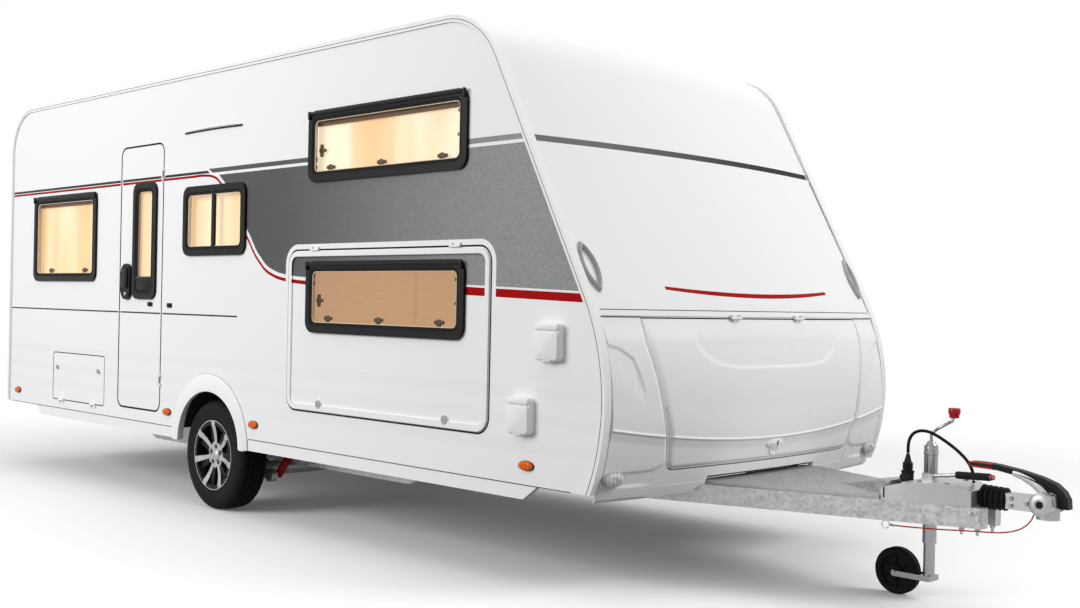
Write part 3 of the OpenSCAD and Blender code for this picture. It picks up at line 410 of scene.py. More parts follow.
# %% [markdown]
# ## White skins
# A caravan's walls are smooth coloured sheet over foam, and its front is moulded plastic. Both are glossy
# and never quite flat: a long, faint ripple shows in the reflections. So the white is nearly plain, with
# a low wide bump and a slightly uneven gloss, and everything printed on it is worked out from X, Y and Z.

# %% Plain white, for walls and mouldings
WHITE = (0.84, 0.845, 0.85)
GRAPHITE = (0.035, 0.037, 0.04)
RED = (0.36, 0.003, 0.005)


def white_skin(name, ripple=0.012, gloss=0.2):
    finish = Finish(name, base_color=WHITE, roughness=gloss, specular_ior_level=0.03)
    long_wave = finish.noise(2.2, 2.0)
    fine = finish.noise(900, 1.0)
    finish.feed("Roughness", gloss + 0.1 * finish.noise(5, 4.0))
    finish.bump(long_wave + 0.004 * fine, ripple, 0.02)
    return finish


white_wall = white_skin("white_wall").material
white_mould = white_skin("white_moulding", 0.006, 0.24).material
print("white skins:", white_wall.name, white_mould.name)

# %% [markdown]
# ## Printed sides
# A dark band and a red line run along the wall. By the kitchen window the red line turns down, and between
# the two lies a speckled graphite field that reaches the front. A picture wrapped on the wall would blur up
# close, so the print is worked out from X and Z. The turn is one curve of Z over X, kept in a Float Curve
# node. The height above that curve, divided by its slope's length, draws a line of even width.

# %% Side finish with its band, red line and graphite field
CURVE_X, CURVE_Z = (-1.1, 2.3), (1.25, 2.05)
TURN = ((-1.1, 1.998), (-0.95, 1.997), (-0.87, 1.985), (-0.793, 1.945), (-0.64, 1.79), (-0.478, 1.600),
        (-0.36, 1.475), (-0.24, 1.405), (-0.08, 1.372), (0.6, 1.350), (2.3, 1.294))
BAND_FOOT, BAND_THIN, BAND_BROAD, BAND_LEAN = 2.011, 0.016, 0.026, 1.9
FIELD_TOP = 1.995
TURN_START = -0.896
RAIL_END = -3.735
WAIST, WAIST_END = (1.1555, 1.1650), -0.583
RIBS, RIB_PITCH = (0.55, 0.94), 52
RED_THIN, RED_GROWS = 0.0075, 0.0115
OPENINGS = {"door": (-2.022, 0.542, 0.556, 1.692, 0.060),
            "hatch": (-0.061, 0.664, 1.637, 0.873, 0.080),
            "flap": (-3.000, 0.522, 0.785, 0.337, 0.025)}


def unit_curve(points):
    return [((x - CURVE_X[0]) / (CURVE_X[1] - CURVE_X[0]), (z - CURVE_Z[0]) / (CURVE_Z[1] - CURVE_Z[0]))
            for x, z in points]


def turn_height(finish, x):
    part = ((x - CURVE_X[0]) / (CURVE_X[1] - CURVE_X[0])).math("MAXIMUM", 0.0)
    made = finish.node("ShaderNodeFloatCurve", {"curve": unit_curve(TURN)}, {"Value": part})
    return made * (CURVE_Z[1] - CURVE_Z[0]) + CURVE_Z[0]


def off_turn(finish, x, z, step=0.01):
    """Distance from the turning curve, upwards."""
    slope = (turn_height(finish, x + step) - turn_height(finish, x - step)) / (2 * step)
    return (z - turn_height(finish, x)) / (slope * slope + 1).math("SQRT")


def white_rim(place, opening, inner, outer):
    """1 on the white border that runs on both sides of an opening's gap, on the right wall."""
    x, y, z = place
    x_low, z_low, wide, tall, radius = opening
    a = abs(x - (x_low + wide / 2)) - (wide / 2 - radius)
    b = abs(z - (z_low + tall / 2)) - (tall / 2 - radius)
    over, above = a.math("MAXIMUM", 0.0), b.math("MAXIMUM", 0.0)
    round_part = (over * over + above * above).math("SQRT")
    off = round_part + a.math("MAXIMUM", b).math("MINIMUM", 0.0) - radius
    return off.within(-inner, outer) * (y < 0)


def speckled_field(finish, x):
    """Graphite with a speckle, paler towards the front."""
    speck = finish.noise(420, 2.0, 0.7, (1, 1, 0.35)) * 0.6 + finish.noise(160, 2.0, 0.6, (0.5, 1, 1)) * 0.4
    paler = x.ramp(-0.4, 1.9)
    grain = (speck - 0.5) * (0.16 + 0.34 * paler)
    return finish.grey(0.10 + 0.19 * paler + grain * (0.5 + paler * 0.5), 1.01, 1.03)


def side_skin(name):
    finish = white_skin(name)
    x, y, z = place = finish.place()
    shown = 1 - (white_rim(place, OPENINGS["hatch"], 0.036, 0.030)
                 + white_rim(place, OPENINGS["door"], 0.016, 0.014))
    off = off_turn(finish, x, z)
    field = speckled_field(finish, x)
    # Painted shade: faint dark lines where the sheet's ribs would cast their shadows.
    rib_shadow = ((z * RIB_PITCH).math("SINE") > 0.1) * z.within(*RIBS, 0.004)
    colour = finish.mix(rib_shadow * 0.05, WHITE, (0.45, 0.46, 0.48))
    colour = finish.mix(z.within(*WAIST) * x.within(RAIL_END, WAIST_END) * shown, colour, GRAPHITE)
    inside = (off > 0.03) * (z < FIELD_TOP) * (x > TURN_START) * shown
    colour = finish.mix(inside, colour, field)
    leaning = x - TURN_START + BAND_LEAN * (z - BAND_FOOT)
    past, before = leaning > 0.016, leaning < -0.016
    thin = z.within(BAND_FOOT, BAND_FOOT + BAND_THIN) * before * (x > RAIL_END) * shown
    broad = z.within(BAND_FOOT, BAND_FOOT + BAND_BROAD) * past
    colour = finish.mix(broad, finish.mix(thin, colour, GRAPHITE), field)
    half = RED_THIN + RED_GROWS * x.ramp(-0.5, 1.2)
    red = (abs(off - 0.001) < half) * (x > RAIL_END) * shown
    finish.feed("Base Color", finish.mix(red, colour, RED))
    return finish.material


side_printed = side_skin("side_printed")
print("nodes in the side's finish:", len(side_printed.node_tree.nodes))

# %% [markdown]
# ## Printed front
# The front carries the same dark band, fading from grey to black across, and a red arc that smiles below
# mid height and is a little thinner at its blunt ends. Stickers could be thin pieces of their own, but a
# flat print has no edge to catch the light, so both are functions of Y and Z in the finish.

# %% Front finish
FRONT_BAND, FRONT_BAND_Y = (2.004, 2.034), 1.09
ARC_HALF, ARC_Z, ARC_RISE, ARC_THICK, ARC_THINS = 0.66, 1.328, 0.026, 0.0105, 0.003


def front_skin(name):
    finish = white_skin(name, 0.006)
    x, y, z = finish.place()
    fade = y.ramp(-1.1, 0.9)
    dark = finish.mix(fade, (0.16, 0.165, 0.17), (0.012, 0.013, 0.015))
    band = z.within(*FRONT_BAND) * y.within(-FRONT_BAND_Y, FRONT_BAND_Y)
    colour = finish.mix(band, WHITE, dark)
    part = y / ARC_HALF
    middle = ARC_Z + ARC_RISE * part * part
    thick = ARC_THICK - ARC_THINS * part * part
    red = (abs(z - middle) < thick) * (abs(part) < 1.0)
    finish.feed("Base Color", finish.mix(red, colour, RED))
    return finish.material


front_printed = front_skin("front_printed")
print("nodes in the front's finish:", len(front_printed.node_tree.nodes))

# %% [markdown]
# ## Floor and light
# The caravan stands in a pale room with light from all round. World and floor look white to the camera, to
# mirrors and to glass, which Light Path tells, and are greyer as sources of light, so that the background
# doesn't flood the body with light. Wide lamps above, beside and in front shape the body, and the floor
# keeps only the shadow.

# %% Floor, world and lamps
WORLD_LIGHT, FLOOR_RADIUS, FLOOR_FADE = 0.58, 60, (4.0, 7.4)


def looked_at(nodes):
    """1 for rays from the camera, off mirrors and through glass, 0 for rays that carry light."""
    ray = nodes.node("ShaderNodeLightPath").socket.node.outputs
    kinds = [Wire(nodes, ray[f"Is {kind} Ray"]) for kind in ("Camera", "Glossy", "Transmission")]
    return kinds[0].math("MAXIMUM", kinds[1]).math("MAXIMUM", kinds[2])


def pale_world(light):
    world = bpy.data.worlds.new("room")
    bpy.context.scene.world = world
    world.use_nodes = True
    room = Nodes(world.node_tree)
    back = room.tree.nodes["Background"].inputs
    room.plug(back["Color"], (1, 1, 1))
    room.plug(back["Strength"], room.node("ShaderNodeMix", sockets={0: looked_at(room), 2: light, 3: 1.0}))


def lamp(name, at, towards, size, watts):
    data = bpy.data.lights.new(name, "AREA")
    data.shape = "RECTANGLE"
    data.size, data.size_y = size
    data.energy = watts
    made = bpy.data.objects.new(name, data)
    bpy.context.scene.collection.objects.link(made)
    made.location = at
    made.rotation_euler = (Vector(towards) - Vector(at)).to_track_quat("-Z", "Y").to_euler()


def pale_floor(radius):
    finish = Finish("pale_floor", roughness=0.85, specular_ior_level=0.0)
    x, y, z = finish.place()
    far = (x * x + y * y).math("SQRT")
    seen = looked_at(finish)
    finish.feed("Base Color", finish.mix(seen, (0.15, 0.15, 0.15), (0.94, 0.94, 0.94)))
    glow = finish.node("ShaderNodeEmission", sockets={"Color": (1, 1, 1), "Strength": 1.0})
    white = seen * (0.06 + 0.94 * far.ramp(*FLOOR_FADE))
    shaded = Wire(finish, finish.shader.outputs[0])
    fade = finish.node("ShaderNodeMixShader", sockets={0: white, 1: shaded, 2: glow})
    finish.plug(finish.tree.nodes["Material Output"].inputs[0], fade)
    disc = lathe([(0.001, 0), (radius * 0.3, 0), (radius, 0)], (0, 0, 0), (0, 0, 1), 48)
    placed("floor_disc", disc, finish.material)


bpy.context.scene.view_settings.view_transform = "Standard"
pale_world(WORLD_LIGHT)
pale_floor(FLOOR_RADIUS)
lamp("overhead", (-0.5, -0.5, 8.0), (0, 0, 1.2), (9, 6), 140)
lamp("rear_right", (-3.4, -10.2, 4.6), (-0.6, 0, 1.4), (6, 5), 740)
lamp("front_high", (8.5, 4.0, 6.5), (1.8, 0, 1.6), (5, 5), 490)
print("room lit")

# %% [markdown]
# ## Plastics, rubber and glass
# Black frames are moulded with a fine grain and a soft sheen. Rubber is duller, and its tone is uneven.
# The panes are bronze acrylic: see-through by alpha rather than by refraction, so that the light behind
# reaches the curtains. Lamp lenses are coloured plastic with fine ribs in the bump. The rear lamps end
# flush with the rails, so their red, amber and clear bands are colour, worked out from the height.

# %% Plastics, rubber and panes
def darker(colour, part):
    return tuple(c * part for c in colour)


def grained(name, colour, rough, grain=700, depth=0.12, coat=0.0, gloss=0.25):
    finish = Finish(name, base_color=colour, roughness=rough, coat_weight=coat, specular_ior_level=gloss)
    speck = finish.noise(grain, 2.0)
    wide = finish.noise(6, 3.0)
    finish.feed("Roughness", rough + 0.15 * (wide - 0.5))
    finish.feed("Base Color", finish.mix(wide * 0.4, colour, tuple(c * 0.6 + 0.002 for c in colour)))
    finish.bump(speck, depth, 0.0006)
    return finish.material


def acrylic(name):
    finish = Finish(name, base_color=(0.20, 0.115, 0.05), roughness=0.05, alpha=0.17, coat_weight=0.6)
    finish.feed("Roughness", 0.04 + 0.05 * finish.noise(4, 2.0))
    return finish.material


def lens(name, colour, glow, ribs=260):
    finish = Finish(name, base_color=colour, roughness=0.12, specular_ior_level=0.12)
    finish.feed("Emission Strength", glow)
    x, y, z = finish.place()
    rib = ((x + y) * ribs).math("SINE") * 0.5 + 0.5
    finish.feed("Base Color", finish.mix(rib * 0.5, colour, darker(colour, 0.45)))
    finish.feed("Emission Color", colour)
    finish.bump(rib, 0.3, 0.001)
    return finish.material


def cluster_lens(name, ribs=420):
    """Red, with a band of amber and a clear one below it."""
    finish = Finish(name, roughness=0.12, specular_ior_level=0.2)
    x, y, z = finish.place()
    red, amber, clear = (0.36, 0.005, 0.007), (0.72, 0.18, 0.004), (0.55, 0.56, 0.57)
    colour = finish.mix(z.within(0.82, 0.96, 0.002), red, amber)
    colour = finish.mix(z.within(0.70, 0.80, 0.002), colour, clear)
    rib = (z * ribs).math("SINE") * (y * ribs).math("SINE") * 0.5 + 0.5
    finish.feed("Base Color", finish.mix(rib * 0.35, colour, (0.05, 0.01, 0.01)))
    finish.bump(rib, 0.35, 0.001)
    return finish.material


black_frame = grained("black_frame", (0.006, 0.006, 0.007), 0.36, gloss=0.12)
black_grain = grained("black_grain", (0.010, 0.010, 0.011), 0.5, 500, 0.3, gloss=0.15)
black_gap = grained("black_gap", (0.004, 0.004, 0.004), 0.8)
grey_trim = grained("grey_trim", (0.46, 0.47, 0.48), 0.3, coat=0.2)
rubber = grained("rubber", (0.009, 0.009, 0.010), 0.7, 300, 0.2, gloss=0.1)
red_plastic = grained("red_plastic", (0.46, 0.006, 0.014), 0.34, coat=0.05)
red_paint = grained("red_paint", (0.46, 0.006, 0.008), 0.4)
bronze_pane = acrylic("bronze_pane")
amber_lens = lens("amber_lens", (0.76, 0.13, 0.002), 0.05)
rear_lens = cluster_lens("cluster_lens")
clear_lens = lens("clear_lens", (0.62, 0.63, 0.64), 0.0)
print("plastics and panes made")

# %% [markdown]
# ## Metals
# Galvanised steel has a spangle: flat crystals a centimetre across, each with its own grey. The cells of a
# texture give that, with noise for stains. The alloy rims are machined bright on the face and dark painted
# in the recesses, so one finish looks at the distance from the axle, and the spokes' at the way they face.

# %% Metals
AXLE_X, AXLE_Y, AXLE_Z = (Vector(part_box("tyre_left")[0]) + Vector(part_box("tyre_left")[1])) / 2
SPOKE_FACE = 1.087
RIM_BLACK, RIM_SILVER = (0.012, 0.012, 0.013), (0.46, 0.465, 0.47)
HUB_R, LIP_R = 0.078, (0.2025, 0.2040)


def galvanised(name, light, contrast, spangle=62):
    finish = Finish(name, metallic=0.85, roughness=0.42)
    at = finish.node("ShaderNodeTexCoord", out=3)
    cell = finish.node("ShaderNodeTexVoronoi", sockets={0: at, "Scale": spangle}, out=1)
    grey = finish.node("ShaderNodeSeparateColor", sockets={0: cell})
    stain = finish.noise(22, 5.0, 0.65, (1, 1, 1.8))
    tone = light * (1 + contrast * (grey - 0.5) + 1.7 * contrast * (stain - 0.5))
    finish.feed("Base Color", finish.grey(tone, 1.005, 1.02))
    finish.feed("Roughness", 0.34 + 0.22 * grey)
    finish.bump(stain + 0.3 * grey, 0.12, 0.001)
    return finish.material


def plain_metal(name, colour, rough, metallic=1.0):
    finish = Finish(name, base_color=colour, roughness=rough, metallic=metallic)
    worn = finish.noise(30, 4.0, 0.6)
    finish.feed("Roughness", rough + 0.16 * (worn - 0.4))
    finish.feed("Base Color", finish.mix(worn * 0.4, colour, darker(colour, 0.7)))
    finish.bump(finish.noise(500, 1.0), 0.05, 0.0005)
    return finish.material


def two_tone_rim(name):
    """Machined silver on the hub's face and the outer lip, black paint everywhere deeper."""
    finish = Finish(name, roughness=0.3, metallic=0.75, specular_ior_level=0.1)
    x, y, z = finish.place()
    across, tall = x - AXLE_X, z - AXLE_Z
    far = (across * across + tall * tall).math("SQRT")
    hub = (far < HUB_R) * abs(y).ramp(SPOKE_FACE - 0.010, SPOKE_FACE - 0.004)
    bright = (hub + far.ramp(*LIP_R)).math("MINIMUM", 1.0)
    turned = (far * 5200).math("SINE") * 0.5 + 0.5
    silver = finish.mix(turned * 0.25, RIM_SILVER, (0.36, 0.365, 0.37))
    finish.feed("Base Color", finish.mix(bright, RIM_BLACK, silver))
    finish.feed("Roughness", 0.5 - 0.2 * bright)
    finish.feed("Metallic", 0.75 * bright)
    return finish.material


def machined_face(name):
    """Machined silver where a spoke faces outwards, black paint on its flanks."""
    finish = Finish(name, roughness=0.3, metallic=0.8, specular_ior_level=0.1)
    facing = finish.node("ShaderNodeNewGeometry", out=1)
    outwards = finish.node("ShaderNodeSeparateXYZ", sockets={0: facing}, out=1)
    flat = abs(outwards).ramp(0.45, 0.70)
    worn = finish.noise(30, 4.0, 0.6)
    silver = finish.mix(worn * 0.4, RIM_SILVER, (0.32, 0.325, 0.33))
    finish.feed("Base Color", finish.mix(flat, RIM_BLACK, silver))
    finish.feed("Roughness", 0.40 - 0.15 * flat + 0.16 * (worn - 0.4))
    finish.feed("Metallic", 0.8 * flat)
    return finish.material


def lit_board(name, colour, glow):
    """Pale wood inside, with a painted glow that stands in for the lamps there."""
    finish = Finish(name, base_color=colour, roughness=0.5, emission_strength=glow)
    grain = finish.noise(9, 4.0, 0.6, (1, 1, 12))
    wood = finish.mix(grain, colour, darker(colour, 0.8))
    finish.feed("Base Color", wood)
    finish.feed("Emission Color", wood)
    finish.bump(grain, 0.05, 0.0005)
    return finish.material


steel = galvanised("galvanised", 0.44, 0.34)
smooth_steel = galvanised("smooth_galvanised", 0.40, 0.09)
zinc = plain_metal("zinc", (0.32, 0.325, 0.33), 0.26)
cast_silver = plain_metal("cast_silver", (0.45, 0.455, 0.46), 0.36, 0.7)
alloy_bright = two_tone_rim("alloy_bright")
alloy_face = machined_face("alloy_face")
drum_grey = plain_metal("drum_grey", (0.10, 0.10, 0.105), 0.55, 0.8)
board = lit_board("board", (0.57, 0.40, 0.25), 0.72)
floor_board = grained("floor_board", (0.10, 0.09, 0.08), 0.7, 90, 0.1)
print("metals made")

# %% [markdown]
# ## Finishes on the solids
# Each solid gets its finish by name. The solids come in flat facets. Smoothing them in place would change
# their meshes, so a small Geometry Nodes modifier does it: it welds the corners, shades the faces smooth
# and keeps edges sharper than thirty degrees crisp.

# %% Give every solid its finish
NODE_FINISH = {
    side_printed: "wall_right wall_left door_panel hatch_panel service_flap",
    white_wall: "roof rear_wall edge_rails",
    front_printed: "front_panel",
    white_mould: "front_moulding gas_lid skirts arch_trims socket_boxes rear_bumper vents roof_lights",
    black_gap: "wheel_boxes locker_bulkhead",
    black_frame: "window_frames door_frame hatch_frame door_handle",
    black_grain: "stabiliser_lever parking_socket plug",
    rubber: "tyre_right tyre_left jockey_wheel bellows cable",
    red_plastic: "breakaway_cable",
    red_paint: "shock_absorbers",
    bronze_pane: "window_panes door_pane hatch_pane",
    amber_lens: "side_lamps",
    clear_lens: "front_lamps",
    rear_lens: "rear_lamps",
    grey_trim: "grab_handles",
    steel: "chassis axle_tube trailing_arms steady_brackets steady_rear_right steady_rear_left"
           " steady_front_right steady_front_left",
    smooth_steel: "drawbar_cover",
    zinc: "jockey_clamp jockey_leg jockey_fork handbrake",
    cast_silver: "overrun_housing coupling",
    alloy_bright: "rim_right rim_left",
    board: "furniture curtains",
    floor_board: "floor",
}
SOLID_WELD, CRISP_ANGLE = 2e-5, 30


def smoothing(angle):
    group = bpy.data.node_groups.new("smooth_solids", "GeometryNodeTree")
    group.interface.new_socket("Geometry", in_out="INPUT", socket_type="NodeSocketGeometry")
    group.interface.new_socket("Geometry", in_out="OUTPUT", socket_type="NodeSocketGeometry")
    nodes = Nodes(group)
    solid = nodes.node("NodeGroupInput")
    solid = nodes.node("GeometryNodeRemoveAttribute", sockets={0: solid, "Name": "custom_normal"})
    solid = nodes.node("GeometryNodeMergeByDistance", sockets={0: solid, "Distance": SOLID_WELD})
    solid = nodes.node("GeometryNodeSetShadeSmooth", sockets={0: solid})
    turn = nodes.node("GeometryNodeInputMeshEdgeAngle")
    sharp = nodes.node("FunctionNodeCompare", sockets={0: turn, 1: math.radians(angle)})
    solid = nodes.node("GeometryNodeSetShadeSmooth", {"domain": "EDGE"},
                       {0: solid, "Selection": sharp, "Shade Smooth": False})
    nodes.plug(group.nodes.new("NodeGroupOutput").inputs[0], solid)
    return group


def dress_solids():
    group = smoothing(CRISP_ANGLE)
    for finish, names in NODE_FINISH.items():
        for name in names.split():
            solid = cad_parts[name]
            solid.data.materials.clear()
            solid.data.materials.append(finish)
            solid.modifiers.new("smooth", "NODES").node_group = group
    bare = set(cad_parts) - {n for names in NODE_FINISH.values() for n in names.split()}
    print("solids dressed, left out:", sorted(bare))


dress_solids()

# %% [markdown]
# ## Cables on the drawbar
# The black cable leaves the brake housing and loops up to its plug in the parking socket. The thin red
# one runs under the beam and pulls the brake if the coupling fails. A cable has a fixed length, so each
# is a tube swept along a smooth path through chosen points, and the length that it measures is printed.

# %% Electric cable and breakaway cable
CABLE = ((3.348, 0.036, 0.546), (3.348, 0.036, 0.565), (3.345, 0.033, 0.590), (3.336, 0.028, 0.617),
         (3.320, 0.022, 0.643), (3.298, 0.016, 0.666), (3.274, 0.010, 0.687), (3.248, 0.004, 0.706),
         (3.222, -0.002, 0.723), (3.195, -0.007, 0.738), (3.168, -0.011, 0.749), (3.140, -0.014, 0.753),
         (3.114, -0.016, 0.749), (3.092, -0.018, 0.736), (3.078, -0.019, 0.715), (3.072, -0.020, 0.690),
         (3.071, -0.020, 0.660), (3.071, -0.020, 0.632))
BREAKAWAY = ((3.652, -0.046, 0.480), (3.650, -0.052, 0.462), (3.640, -0.056, 0.436), (3.620, -0.060, 0.411),
             (3.590, -0.064, 0.391), (3.550, -0.070, 0.377), (3.500, -0.078, 0.369), (3.440, -0.093, 0.366),
             (3.380, -0.112, 0.364), (3.320, -0.131, 0.361), (3.260, -0.151, 0.359), (3.200, -0.170, 0.358),
             (3.140, -0.190, 0.358), (3.090, -0.205, 0.360))


def path_length(path):
    return sum((b - a).length for a, b in zip(path, path[1:]))


def add_cord(name, route, radius, finish, sides):
    path = smooth_path(route, 4)
    made = piece(name, sweep(path, radius, sides), finish)
    print(name, "length in m:", round(path_length(path), 3))
    return made, path


def clip_ring(at, radius, wire):
    """A split ring that hangs from the cable's end, with the crimp beside it."""
    turns = full_turn(40)[:38]
    centre = Vector(at) - Vector((radius, 0, 0))
    ring = [centre + radius * Vector((math.cos(t), 0.15 * math.sin(t), math.sin(t))) for t in turns]
    crimp = [Vector(at) + Vector((0.004 + 0.022 * k, -0.006 * k, 0)) for k in range(2)]
    hook = [ring[10] + Vector((0, 0, -0.004)), ring[10] + Vector((0.002, 0, 0.006)),
            ring[10] + Vector((0.004, 0.004, 0.014))]
    return joined(sweep(ring, wire, 8), sweep(crimp, wire * 2.2, 8), sweep(hook, wire * 1.4, 8))


lead, lead_path = add_cord("electric_lead", CABLE, 0.007, rubber, 12)
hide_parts("cable")
round(path_length(lead_path), 3)
safety, safety_path = add_cord("safety_cable", BREAKAWAY, 0.003, red_plastic, 8)
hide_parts("breakaway_cable")
safety_ring = piece("safety_ring", clip_ring(BREAKAWAY[-1], 0.017, 0.0022), zinc)
round(path_length(safety_path), 3)

# %% [markdown]
# ## Windows
# A caravan window is a bowed double pane of tinted acrylic in a black frame. It hangs from a strip along
# its top and is held by catches along its foot. The frames' places come from the solids: a node with
# several frames is split into its separate parts, and each part's box tells which wall it is on.

# %% The frames' places, seals, top strips and catches
def parts_of(name):
    """Boxes of the separate parts of a node."""
    work = bmesh.new()
    work.from_mesh(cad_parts[name].data)
    bmesh.ops.remove_doubles(work, verts=work.verts, dist=1e-5)
    boxes, seen = [], set()
    for first in work.verts:
        if first in seen:
            continue
        todo, found = [first], []
        seen.add(first)
        while todo:
            vert = todo.pop()
            found.append(vert.co.copy())
            fresh = [e.other_vert(vert) for e in vert.link_edges if e.other_vert(vert) not in seen]
            seen.update(fresh)
            todo += fresh
        boxes.append([Vector([pick(v[i] for v in found) for i in range(3)]) for pick in (min, max)])
    work.free()
    return boxes


def wall_frame(low, high):
    """Outline, placing function and side of the window with this box."""
    if high.y < 0:
        return (low.x, low.z, high.x - low.x, high.z - low.z), on_right, "right"
    if low.y > 0:
        return (low.x, low.z, high.x - low.x, high.z - low.z), on_left, "left"
    return (low.y, low.z, high.y - low.y, high.z - low.z), on_rear, "rear"


CORNER = 0.062
CATCH_AT = {0: (), 2: (0.22, 0.76), 3: (0.12, 0.46, 0.83)}
CATCH_FOOT, CATCH_SIDE = 0.075, 0.072
FRAME_OUT = 0.016
SEAL, PANE_HIGHLIGHT_RING = (0.030, 0.054, 0.004, 0.0135), (0.054, 0.0585, 0.006, 0.010)
DOOR_SEAL = (0.030, 0.058, 0.004, 0.0135)
SLIDING_WIDE, WIDE_FROM = 0.697, 1.2


def inset(area, d, steps=8):
    u, v, width, height = area
    return rounded(u + d, v + d, width - 2 * d, height - 2 * d, max(CORNER - 0.6 * d, 0.02), steps)


def ring(area, outer, inner, low, high, on):
    """A flat ring that follows a window's edge, with softened rims."""
    soft = min(0.003, (high - low) / 3)
    rows = [(inner, low), (outer, low), (outer, high - soft), (outer + soft, high), (inner - soft, high),
            (inner, high - soft), (inner, low)]
    return stacked([(inset(area, d), w) for d, w in rows], on, caps=False)


def top_strip(area, on):
    """Hinge strip along a window's top, with an end cap at each side."""
    u, v, width, height = area
    v_top = v + height - 0.016
    bar = [on(u + 0.02 + (width - 0.04) * k / 12, v_top, FRAME_OUT - 0.002) for k in range(13)]
    shapes = [sweep(bar, 0.012, 10)]
    for end in (u + 0.016, u + width - 0.016):
        cap = rounded(end - 0.008, v_top - 0.03, 0.016, 0.044, 0.006, 4)
        shapes.append(plate(cap, FRAME_OUT - 0.004, FRAME_OUT + 0.012, 0.003, on))
    return joined(*shapes)


def catch(u, v, on, turn):
    """A window catch behind the pane: a round foot and a swung handle."""
    c, s = math.cos(turn), math.sin(turn)

    def swung(a, b, w):
        return on(u + a * c - b * s, v + a * s + b * c, w)

    foot = plate(arc((0, 0), 0.019, 0, 345, 23), -0.031, -0.018, 0.003, swung)
    grip = plate(rounded(-0.034, -0.006, 0.068, 0.019, 0.007, 4), -0.034, -0.02, 0.003, swung)
    tongue = plate(rounded(-0.008, -0.034, 0.016, 0.032, 0.005, 4), -0.033, -0.021, 0.003, swung)
    return joined(foot, grip, tongue)


def dress_window(number, area, on, side, body, hung=True, catches=3):
    name = f"window_{side}_{number}"
    piece(name + "_seal", ring(area, *SEAL, on), rubber, body)
    # Painted highlight: a thin cream ring where the pane's inner rim catches the light.
    piece(name + "_edge", ring(area, *PANE_HIGHLIGHT_RING, on), pane_rim_highlight, body)
    if hung:
        piece(name + "_strip", top_strip(area, on), black_frame, body)
    u, v, width, height = area
    spots = [(u + width * part, v + CATCH_FOOT, 0) for part in CATCH_AT[catches]]
    if catches > 2:
        spots.append((u + CATCH_SIDE, v + height * 0.45, math.pi / 2))
        spots += [(u + width - CATCH_SIDE, v + height * part, -math.pi / 2) for part in (0.45, 0.75)]
    if catches:
        shapes = [catch(a, b, on, turn) for a, b, turn in spots]
        piece(name + "_catches", joined(*shapes), catch_brown, body)


# Cream for the painted highlight along each pane's inner rim.
pane_rim_highlight = grained("pane_rim_highlight", (0.80, 0.66, 0.46), 0.2, coat=0.5)
catch_brown = grained("catch_brown", (0.030, 0.017, 0.010), 0.35)
windows = []
for number, (low_at, high_at) in enumerate(parts_of("window_frames")):
    area, on, side = wall_frame(low_at, high_at)
    slides = side == "right" and abs(area[2] - SLIDING_WIDE) < 0.05
    windows.append((area, on, side, slides))
    wide = area[2] > WIDE_FROM
    hung = not slides and side != "rear"
    dress_window(number, area, on, side, "caravan", hung, 0 if slides else 3 if wide else 2)
hatch_area = wall_frame(*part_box("hatch_frame"))[0]
door_area = wall_frame(*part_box("door_frame"))[0]
dress_window(0, hatch_area, on_right, "hatch", "hatch")
print("windows:", [(side, [round(v, 3) for v in area]) for area, on, side, slides in windows])

# %% [markdown]
# ## Curtains and what shows inside
# The lamps inside are lit, so the windows glow. A real curtain is a flat cloth drawn together, and its
# folds shade each other; that shade is painted into its colour as soft upright streaks. Each one is a
# sheet whose folds follow a sum of two waves, cut from a cloth as wide as the folded line is long.
# The cloth gives off a little warm light, a painted glow that stands in for the lamps behind it.

# %% Glowing cloth and folded sheets
THREADS, CLOTH_IN, FOLD_STEPS = 2600, 0.0055, 10


def glowing_cloth(name, pale, deep, glow):
    # Painted glow: the cloth gives off its own colour as light, for the lamps inside behind it.
    finish = Finish(name, base_color=pale, roughness=0.85, emission_strength=glow)
    x, y, z = finish.place()
    weave = (((x + y) * THREADS).math("SINE") * (z * THREADS).math("SINE")) * 0.5 + 0.5
    # Painted shade: soft upright streaks of the deeper colour where the folds shade each other.
    fold_shade = finish.noise(2.6, 2.0, 0.5, (1, 1, 0.12)).ramp(0.38, 0.66)
    tone = finish.mix(fold_shade, deep, pale)
    finish.feed("Base Color", tone)
    finish.feed("Emission Color", tone)
    finish.bump(weave, 0.15, 0.0004)
    return finish.material


def folded_sheet(area, depth, folds, on, rows=10):
    """Points and faces of a hanging sheet behind a window, and the length of its folded line."""
    u, v, width, height = area
    steps = folds * FOLD_STEPS
    us = [u + width * k / steps for k in range(steps + 1)]
    ws = [-WALL_T - CLOTH_IN + depth * (0.7 * math.sin(2 * math.pi * folds * k / steps)
                                        + 0.3 * math.sin(2 * math.pi * 0.37 * folds * k / steps + 1.1))
          for k in range(steps + 1)]
    sections = [[on(a, v + height * r / rows, w) for a, w in zip(us, ws)] for r in range(rows + 1)]
    return loft(sections, closed=False, caps=False), path_length(sections[0])


def hang(name, area, on, finish, folds, body="caravan", depth=0.004):
    """A curtain as wide as its folded line is long."""
    shape, width = folded_sheet(area, depth, folds, on)
    made = piece(name, shape, finish, body)
    return made


def cassette(area, on, depth=0.05):
    """The blind's box along a window's top, inside."""
    u, v, width, height = area
    outline = rounded(u, v + height - depth, width, depth + 0.004, 0.012, 4)
    return plate(outline, -WALL_T - 0.0008, -0.0185, 0.004, on)


